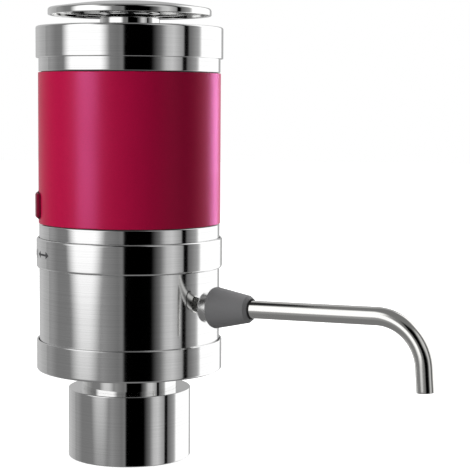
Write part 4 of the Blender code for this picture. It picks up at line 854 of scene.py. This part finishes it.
class DISPENSER_OT_cap(bpy.types.Operator):
    """Battery cap with its gasket, hub and round handle"""

    bl_idname = "dispenser.cap"
    bl_label = "Cap and handle"

    def execute(self, context):
        sizes = context.scene.dispenser_sizes
        edge = sizes.edge
        low, high = node_span("battery_cap")
        cap, inner = node_radius("battery_cap"), node_radius("upper_band") + GAP
        under, hole = high - 0.0020, 0.0053
        turned_piece("cap_shell", [
            (inner, low, edge), (cap, low, edge), (cap, high, sizes.shoulder), (hole, high, edge),
            (hole, under, 0), (inner, under, edge * 2),
        ], "Brushed steel", "cap", ["battery_cap"])
        outer, wide, soft = node_radius("cap_gasket"), 0.0050, 0.0004
        corners = tube_corners(outer - wide, outer, *node_span("cap_gasket"), soft, soft)
        turned_piece("cap_seal", corners, "Black rubber", "cap", ["cap_gasket"])
        self.hub(high + GAP, edge)
        self.handle(edge)
        return {"FINISHED"}

    def hub(self, start, edge):
        """Turned hub on the cap's top: a flange and a neck, with a black ring round the neck that
        is painted shade for the gap between the flange and the handle.
        """
        low, high = node_span("cap_hub")
        bore, spigot, neck, flange = 0.0022, 0.0050, 0.0080, 0.0120
        flange_top, clear, rubber = start + 0.00365, 0.00005, 0.0016
        turned_piece("hub_spool", [
            (bore, low, 0), (spigot, low, 0), (spigot, start, 0), (flange, start, edge),
            (flange, flange_top, edge * 1.4), (neck, flange_top, edge), (neck, high, edge / 2),
            (bore, high, 0),
        ], "Polished steel", "cap", ["cap_hub"])
        # Painted shade: a black ring, reaching out from the neck by rubber, stands for the shadow
        # in the gap between the flange and the handle.
        corners = tube_corners(neck + clear, neck + rubber, flange_top + clear, high, 0, 0.0003)
        turned_piece("hub_ring", corners, "Black rubber", "cap")

    def handle(self, edge):
        """Shallow hollow dome with a skirt round it. Over a radius r the dome is flat out to f, and
        from there to the edge e it falls by its rise times ((r - f) / (e - f)) to the power 1.5.
        The inside follows it one wall lower, out from a boss over the hub."""
        low, high = node_span("ring_handle")
        radius = node_radius("ring_handle")
        fillet, flat, boss = 0.0009, 0.0070, 0.0120
        skirt, boss_low, inner, rim = low + 0.0029, low + 0.0006, radius - WALL, radius - fillet

        def dome(at):
            return high - (high - skirt) * np.clip((at - flat) / (rim - flat), 0, 1) ** 1.5

        under = np.linspace(boss + 0.0015, inner - 0.0008, 24)
        over = np.linspace(rim - 0.0004, flat, 40)
        turned_piece("palm_dome", [
            (0, boss_low, 0), (boss, boss_low, edge), (boss, dome(boss) - WALL, 0.0006),
            *[(at, dome(at) - WALL, 0) for at in under], (inner, dome(inner) - WALL, 0.0004),
            (inner, low, edge), (radius, low, edge), (radius, skirt, fillet * 1.2),
            *[(at, dome(at), 0) for at in over], (0, high, 0),
        ], "Polished steel", "cap", ["ring_handle"])


class DISPENSER_OT_spout(bpy.types.Operator):
    """Boss, grey cone, a black ring of painted shade at its tip and the bent steel pipe"""

    bl_idname = "dispenser.spout"
    bl_label = "Spout"

    def execute(self, context):
        spout, sides = context.scene.spout_sizes, context.scene.dispenser_sizes.small_sides
        lean = Matrix.Rotation(math.pi / 2 - spout.tilt, 4, "Y")
        place = Matrix.Translation((0, 0, spout.height)) @ lean
        self.boss(spout, sides, place)
        self.cone(spout, sides, place)
        self.pipe(spout, sides, place)
        return {"FINISHED"}

    def boss(self, spout, sides, place):
        """Boss through the barrel, with its spigot inside the cone and a rounded foot."""
        radius, spigot, bore = 0.00575, 0.0044, 0.0033
        root, shoulder, end = 0.0300, spout.shoulder, spout.shoulder + 0.005
        tube = surface("tube", turned_grid(held(rounded([
            (bore, root, 0), (radius, root, 0), (radius, shoulder, 0.0003),
            (spigot, shoulder, 0), (spigot, end, 0.0002), (bore, end, 0)])), sides))
        tube.transform(place)
        foot = surface("foot", self.foot(spout, radius, sides))
        add_piece("boss_tube", clean(joined("boss_tube", [tube, foot])), "Boss steel", "body",
                  ["spout_boss"])

    def foot(self, spout, boss, sides):
        """Rounded foot where the boss leaves the barrel: a point lies r away from the spout's axis,
        at an angle round it, and along X it stands h off the barrel's circle, the root of the
        barrel's radius squared less y squared. Over a quarter turn a, r grows by the fillet times
        1 - cos(a) and h falls with 1 - sin(a)."""
        barrel, fillet = node_radius("lower_housing"), spout.foot
        inner, outer, sunk = boss - 0.0002, boss + fillet, -0.0001
        quarter = np.linspace(0, math.pi / 2, 10)
        reach = np.concatenate([boss + fillet * (1 - np.cos(quarter)), [outer, inner, inner]])
        stand = np.concatenate([fillet * (1 - np.sin(quarter)), [sunk, sunk, fillet]])
        turn = whole_turn(sides)
        y = reach[:, None] * np.sin(turn)
        x = np.sqrt(barrel ** 2 - y ** 2) + stand[:, None]
        z = spout.height + x * math.tan(spout.tilt) + reach[:, None] * np.cos(turn)
        return np.stack([x, y, z], -1)

    def cone(self, spout, sides, place):
        """Cone with chamfered ends on the boss's spigot, and a thin black ring round the pipe at
        its tip that is painted shade for the gap there.
        """
        wide, narrow = spout.cone_back_radius, spout.cone_tip_radius
        back, tip, step = spout.shoulder + GAP, spout.cone_tip, spout.shoulder + GAP + 0.0053
        socket, bore = 0.0047, 0.0038
        turned_piece("swivel_cone", [
            (socket, back, 0.0003), (wide - 0.0004, back, 0.0006), (wide, back + 0.0012, 0.0008),
            (narrow, tip - 0.0013, 0.0004), (narrow - 0.0010, tip, 0.0004), (bore, tip, 0.0001),
            (bore, step, 0), (socket, step, 0),
        ], "Grey moulded plastic", "spout", ["spout_connector"], sides, place)
        # Painted shade: a thin black ring where the pipe leaves the cone stands for the shadow gap
        # at the tip.
        inner, outer = spout.pipe_radius + 0.00003, spout.pipe_radius + 0.0004
        low, high = tip - 0.0002, tip + 0.0004
        turned_piece("tip_seal", [
            (inner, low, 0), (outer, low, 0.0001), (outer, high, 0.0002), (inner, high, 0),
        ], "Black rubber", "spout", sides=sides, place=place)

    def pipe(self, spout, sides, place):
        """Bent pipe from inside the cone to its open end."""
        outer, inner, lip = spout.pipe_radius, spout.pipe_bore, 0.0002
        start = spout.shoulder + 0.0056
        end = spout.bend_start + spout.bend * spout.bend_angle + spout.end_straight
        run = np.linspace(spout.cone_tip, end - 0.0008, 90)
        profile = rounded([
            (inner, start, 0), (outer, start, 0), *[(outer, along, 0) for along in run],
            (outer, end, lip), (inner, end, lip), *[(inner, along, 0) for along in run[::-1]]], 3)
        grid = bent_grid(profile, sides, spout.bend_start, spout.bend, spout.bend_angle)
        add_piece("bent_pipe", clean(surface("bent_pipe", grid)), "Drawn steel", "spout",
                  ["spout_pipe"], place)


class DISPENSER_OT_battery(bpy.types.Operator):
    """Battery cartridge, its cells and their straps"""

    bl_idname = "dispenser.battery"
    bl_label = "Battery cartridge"

    def execute(self, context):
        sizes = context.scene.dispenser_sizes
        low, high = node_span("battery_cartridge")
        outer, ring, flute, column = 0.0236, 0.0155, 0.00755, 0.0100
        lower, upper = low + 0.0020, high - 0.0025
        bore, pivot, soft = 0.0058, 0.0033, 0.0004
        plates = [
            tube_corners(bore, outer, low, lower, 0, soft),
            [(pivot, upper, 0), (outer, upper, soft), (outer, high, soft), (pivot, high, 0.0003)],
        ]
        parts = [surface("plate", turned_grid(rounded(corners), sizes.body_sides))
                 for corners in plates]
        parts.append(surface("column", self.column(ring, flute, column, bore, lower, upper)))
        add_piece("cell_holder", clean(joined("cell_holder", parts)), "Cartridge plastic",
                  "cartridge", ["battery_cartridge"])
        self.cells(ring, sizes.small_sides)
        for node in sorted(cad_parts):
            if "strap" in node or node.startswith("cartridge_contact"):
                dress(node, "Brass contact")
        dress("pivot_screw", "Zinc plated steel")
        return {"FINISHED"}

    def column(self, ring, flute, most, bore, low, high):
        """Fluted column: at angle a from a cell's direction its radius is where that direction
        meets the cell's circle, ring cos(a) minus the root of flute squared less (ring sin(a))
        squared, and no more than the column's own."""
        turn = whole_turn(240)
        offset = np.mod(turn, math.tau / 6) - math.tau / 12
        chord = np.clip(flute ** 2 - (ring * np.sin(offset)) ** 2, 0, None)
        radius = np.minimum(ring * np.cos(offset) - np.sqrt(chord), most)
        rows = [(radius, low), (radius, high), (np.full_like(turn, bore), high),
                (np.full_like(turn, bore), low)]
        return np.stack([np.stack([r * np.cos(turn), r * np.sin(turn), np.full_like(turn, z)], -1)
                         for r, z in rows])

    def cells(self, ring, sides):
        """Six turned cells in one piece. A point keeps its share of the cell's length, from the
        flat minus end to the plus end, as an attribute that the wrap's colours follow."""
        low, high = node_span("battery_cell_1")
        length = high - low
        case, crimp, nub, dish, shoulder = 0.00725, 0.0066, 0.00275, 0.0002, length - 0.0014
        profile = rounded([
            (0, dish, 0), (0.0045, dish, 0.0002), (0.0052, 0, 0.0002), (case, 0, 0.0005),
            (case, length - 0.0016, 0.0005), (crimp, shoulder, 0.0002), (0.0030, shoulder, 0.0002),
            (nub, length, 0.0004), (0, length, 0)])
        grid = turned_grid(profile, sides)
        parts = []
        for index in range(6):
            angle = math.tau * (index + 0.5) / 6
            cell = grid.copy()
            if index % 2:
                cell[..., 2] = length - cell[..., 2]
            cell += (ring * math.cos(angle), ring * math.sin(angle), low)
            parts.append(surface("cell", cell))
        whole = joined("battery_cells", parts)
        shares = np.tile(np.repeat(profile[:, 1] / length, sides), 6)
        values = whole.attributes.new("cell_share", "FLOAT", "POINT")
        values.data.foreach_set("value", shares.astype(np.float32))
        add_piece("battery_cells", clean(whole), "Cell wrap", "cartridge",
                  [f"battery_cell_{index + 1}" for index in range(6)])


class DISPENSER_OT_works(bpy.types.Operator):
    """Finishes of the pump, motor, switch, hoses and the other inner pieces"""

    bl_idname = "dispenser.works"
    bl_label = "Inner works"

    def execute(self, context):
        looks = {
            "Black moulded plastic": (
                "bulkhead", "chassis_tube", "battery_well", "switch_body", "eccentric",
                "pump_frame", "pump_head", "pump_deck"),
            "White moulded plastic": (
                "switch_plunger", "motor_end_cap", "wobble_plate", "valve_plate", "spout_elbow"),
            "Black rubber": ("joint_gasket", "diaphragm"),
            "Zinc plated steel": ("neck_nut", "boss_nut", "motor_can", "motor_shaft"),
            "Brass contact": (
                "well_contact_1", "well_contact_6", "motor_contact_1", "motor_contact_2"),
            "Clear silicone": ("air_hose", "wine_hose"),
            "Board laminate": ("circuit_board",),
        }
        for look, nodes in looks.items():
            for node in nodes:
                dress(node, look)
        return {"FINISHED"}


# Headings of the studio's softboxes and flags in degrees, with their brightness
LEVEL_BANDS = [
    (-171, 0.27), (-157, 0.172), (-145, 0.17), (-100, 0.19), (-89, 0.24), (-81, 0.19),
    (-77.9, 0.18), (-70.4, 0.145), (-65, 0.175), (-62.5, 0.0), (-29, 0.0), (-26, 0.03),
    (-17.8, 0.138), (-9.8, 0.45), (-1.6, 0.53), (6.9, 0.36), (12, 0.27), (14, 0.0), (19, 0.0),
    (21, 0.12), (25.2, 0.168), (35.4, 0.319), (39, 0.5), (42, 1.0), (94, 1.0), (100, 0.38),
    (124, 0.36), (128, 0.46), (156, 0.46), (176, 0.36),
]
# What changes with how far a ray rises: two rises, and the value at each. The bands lean to one
# side, high and deep rays leave the ring, and the softbox has a middle, a half width that tapers,
# a soft edge and a peak.
BANDS_LEAN = (0.15, 0.45, 0.0, 0.045)
HIGH_RAYS = (0.70, 0.87, 0.0, 1.0)
DEEP_RAYS = (-0.70, -0.45, 0.0, 1.0)
BOX_MIDDLE = (0.1, 0.5, 0.1853, 0.155)
BOX_HALF = (-0.14, -0.033, 0.047, 0.080)
BOX_TAPER = (0.1, 0.5, 0.0, 0.03)
BOX_EDGE = (-0.15, -0.05, 0.038, 0.027)
BOX_PEAK = (-0.235, -0.10, 0.28, 1.0)
# Brightness straight above and straight below
HIGH_LEVEL, DEEP_LEVEL = 0.16, 0.17


class DISPENSER_OT_stage(bpy.types.Operator):
    """Floor, camera, lamps and the studio that the steel mirrors"""

    bl_idname = "dispenser.stage"
    bl_label = "Studio"

    def execute(self, context):
        studio = context.scene.studio_settings
        self.floor()
        self.camera(studio)
        self.lamp("key lamp", studio.key, (-0.95, -0.55, 0.55), 0.8)
        self.lamp("rim lamp", studio.rim, (0.80, 0.74, 0.35), 0.5)
        top = self.lamp("top lamp", studio.top, (0.05, 0.35, 0.85), 0.5)
        self.light_only(top, "swivel_cone")
        self.glint("left glint", studio.left_glint, (-0.806, -0.592, 0.12), 0.46, (1.0, 0.36, 0.95))
        self.glint("right glint", studio.right_glint, (0.80, 0.74, 0.12), 0.45, (1.0, 0.35, 1.0))
        self.world(studio)
        self.keep_out_of_reflections("swivel_cone", "lacquered_sleeve", "boss_tube")
        context.scene.view_settings.view_transform = "Standard"
        return {"FINISHED"}

    def keep_out_of_reflections(self, *names):
        """Pieces that the steel next to them doesn't mirror, as if shot behind a flag."""
        for name in names:
            bpy.data.objects[name].visible_glossy = False

    def floor(self):
        """Round floor under the adapter's rim, white to the camera save for a soft grey round the
        object and its shadow."""
        level, radius, sides = node_span("bottle_adapter")[0] - 0.0002, 3, 96
        points = turned_grid([(radius, level)], sides)[0]
        mesh = bpy.data.meshes.new("floor")
        mesh.from_pydata(points.tolist(), [], [list(range(sides))])
        material, tree, shader = new_material("White floor")
        tree.fill(shader, {"Base Color": (0.70, 0.70, 0.70, 1), "Roughness": 0.9,
                           "Specular IOR Level": 0.0})
        rays = tree.add("LightPath").outputs
        seen = tree.maths("MAXIMUM", rays["Is Camera Ray"], rays["Is Glossy Ray"])
        seen = tree.maths("MAXIMUM", seen, rays["Is Transmission Ray"])
        away = tree.add("VectorMath", {0: tree.where()}, operation="LENGTH").outputs["Value"]
        white = tree.span(away, 0.08, 0.40, 0.80, 1.0)
        glow = tree.add("Emission", {"Strength": tree.maths("MULTIPLY", seen, white)})
        total = tree.add("AddShader", {0: shader.outputs[0], 1: glow.outputs[0]})
        tree.fill(tree.nodes["Material Output"], {"Surface": total.outputs[0]})
        mesh.materials.append(material)
        floor = bpy.data.objects.new("floor", mesh)
        bpy.context.scene.collection.objects.link(floor)
        floor.visible_glossy = False

    def camera(self, studio):
        """Camera of the photograph: it looks along yaw and pitch, rolled about that line."""
        yaw, pitch, roll = studio.yaw, studio.pitch, studio.roll
        ahead = Vector((math.sin(yaw) * math.cos(pitch), math.cos(yaw) * math.cos(pitch),
                        -math.sin(pitch)))
        right = Vector((math.cos(yaw), -math.sin(yaw), 0))
        up = right.cross(ahead)
        rolled_right = right * math.cos(roll) + up * math.sin(roll)
        rolled_up = up * math.cos(roll) - right * math.sin(roll)
        axes = Matrix((rolled_right, rolled_up, -ahead)).transposed().to_4x4()
        place = Matrix.Translation((0, -studio.distance, studio.camera_height)) @ axes
        data = bpy.data.cameras.new("camera")
        data.lens = studio.focal
        data.sensor_width = 36
        data.clip_start = 0.01
        camera = bpy.data.objects.new("camera", data)
        camera.matrix_world = Matrix.Rotation(VIEW_TURN, 4, "Z") @ place
        bpy.context.scene.collection.objects.link(camera)
        bpy.context.scene.camera = camera

    def lamp(self, name, power, place, size):
        """Square lamp that faces the object's middle. Its place is turned with the camera."""
        data = bpy.data.lights.new(name, "AREA")
        data.energy = power
        data.size = size
        lamp = bpy.data.objects.new(name, data)
        spot = Matrix.Rotation(VIEW_TURN, 3, "Z") @ Vector(place)
        middle = Vector((0, 0, 0.07))
        lamp.location = spot
        lamp.rotation_euler = (spot - middle).to_track_quat("Z", "Y").to_euler()
        lamp.visible_glossy = False
        bpy.context.scene.collection.objects.link(lamp)
        return lamp

    def glint(self, name, power, place, size, colour):
        """Lamp that only the sleeve's lacquer mirrors, through light linking."""
        glint = self.lamp(name, power, place, size)
        glint.data.color = colour
        glint.visible_glossy = True
        glint.visible_diffuse = False
        self.light_only(glint, "lacquered_sleeve")

    def light_only(self, lamp, piece):
        """Link a lamp's light to one piece, as a flag on a stand would."""
        lit = bpy.data.collections.new(lamp.name)
        lit.objects.link(bpy.data.objects[piece])
        lamp.light_linking.receiver_collection = lit

    def world(self, studio):
        """White to the camera, even to matt surfaces, and to glossy ones a ring of softboxes and
        black flags, told apart by the ray's heading and how far it rises."""
        world = bpy.data.worlds.new("studio")
        bpy.context.scene.world = world
        world.use_nodes = True
        tree = Tree(world.node_tree)
        x, y, rise = tree.add("SeparateXYZ", {0: tree.where("Generated")}).outputs
        share = tree.span(tree.maths("ARCTAN2", y, x), -math.pi, math.pi, 0.0, 1.0)
        left = tree.span(share, 0.42, 0.50, 1.0, 0.0)
        lean = tree.maths("MULTIPLY", tree.span(rise, *BANDS_LEAN), left)
        stops = sorted(((heading + 180) % 360 / 360, (bright, bright, bright, 1))
                       for heading, bright in LEVEL_BANDS)
        shade = tree.ramp(tree.maths("ADD", share, lean), stops)
        shade = tree.maths("MAXIMUM", shade, self.softbox(tree, share, rise))
        shade = tree.blend(tree.span(rise, *HIGH_RAYS, True), shade, HIGH_LEVEL)
        shade = tree.blend(tree.span(rise, *DEEP_RAYS, True), DEEP_LEVEL, shade)
        shade = tree.maths("MULTIPLY", shade, studio.bands)
        rays = tree.add("LightPath").outputs
        even = tree.span(rise, -1.0, 1.0, 0.4 * studio.ambient, 1.6 * studio.ambient)
        shade = tree.blend(rays["Is Diffuse Ray"], shade, even)
        seen = tree.maths("MAXIMUM", rays["Is Camera Ray"], rays["Is Transmission Ray"])
        shade = tree.blend(seen, shade, 1.0)
        tree.fill(tree.nodes["Background"], {"Color": (1, 1, 1, 1), "Strength": shade})

    def softbox(self, tree, share, rise):
        """Tall softbox on the left that narrows, blurs and dims towards its lower end, and leans to
        the left and narrows towards its upper end: bright where the heading is nearer its middle
        than half its width, with a soft edge."""
        half = tree.maths("SUBTRACT", tree.span(rise, *BOX_HALF), tree.span(rise, *BOX_TAPER))
        edge = tree.span(rise, *BOX_EDGE)
        away = tree.maths("SUBTRACT", share, tree.span(rise, *BOX_MIDDLE))
        return tree.span(tree.maths("ABSOLUTE", away), tree.maths("SUBTRACT", half, edge),
                         tree.maths("ADD", half, edge), tree.span(rise, *BOX_PEAK), 0.0, True)


class DISPENSER_PT_panel(bpy.types.Panel):
    """Lists the pieces and their settings"""

    bl_label = "Wine dispenser"
    bl_idname = "DISPENSER_PT_panel"
    bl_space_type = "VIEW_3D"
    bl_region_type = "UI"
    bl_category = "Dispenser"

    def draw(self, context):
        for settings in SETTINGS:
            group = getattr(context.scene, settings)
            box = self.layout.box()
            for name in group.bl_rna.properties.keys():
                if name not in ("rna_type", "name"):
                    box.prop(group, name)
        for operator in OPERATORS:
            self.layout.operator(operator.bl_idname)


SETTINGS = {
    "dispenser_sizes": DispenserSizes,
    "spout_sizes": SpoutSizes,
    "dispenser_finishes": DispenserFinishes,
    "studio_settings": StudioSettings,
}
OPERATORS = [
    DISPENSER_OT_adapter, DISPENSER_OT_stopper, DISPENSER_OT_housing, DISPENSER_OT_marks,
    DISPENSER_OT_head, DISPENSER_OT_button, DISPENSER_OT_cap, DISPENSER_OT_spout,
    DISPENSER_OT_battery, DISPENSER_OT_works, DISPENSER_OT_stage,
]


def register():
    """Register the classes and put their settings on the scene."""
    for cls in [*SETTINGS.values(), *OPERATORS, DISPENSER_PT_panel]:
        bpy.utils.register_class(cls)
    for name, cls in SETTINGS.items():
        setattr(bpy.types.Scene, name, bpy.props.PointerProperty(type=cls))


def unregister():
    """Take away what register made, in the opposite order."""
    for name in SETTINGS:
        delattr(bpy.types.Scene, name)
    for cls in [DISPENSER_PT_panel, *OPERATORS[::-1], *list(SETTINGS.values())[::-1]]:
        bpy.utils.unregister_class(cls)


def main():
    register()
    bpy.ops.dispenser.adapter()
    bpy.ops.dispenser.stopper()
    bpy.ops.dispenser.housing()
    bpy.ops.dispenser.marks()
    bpy.ops.dispenser.head()
    bpy.ops.dispenser.button()
    bpy.ops.dispenser.cap()
    bpy.ops.dispenser.spout()
    bpy.ops.dispenser.battery()
    bpy.ops.dispenser.works()
    bpy.ops.dispenser.stage()


if __name__ == "__main__":
    main()
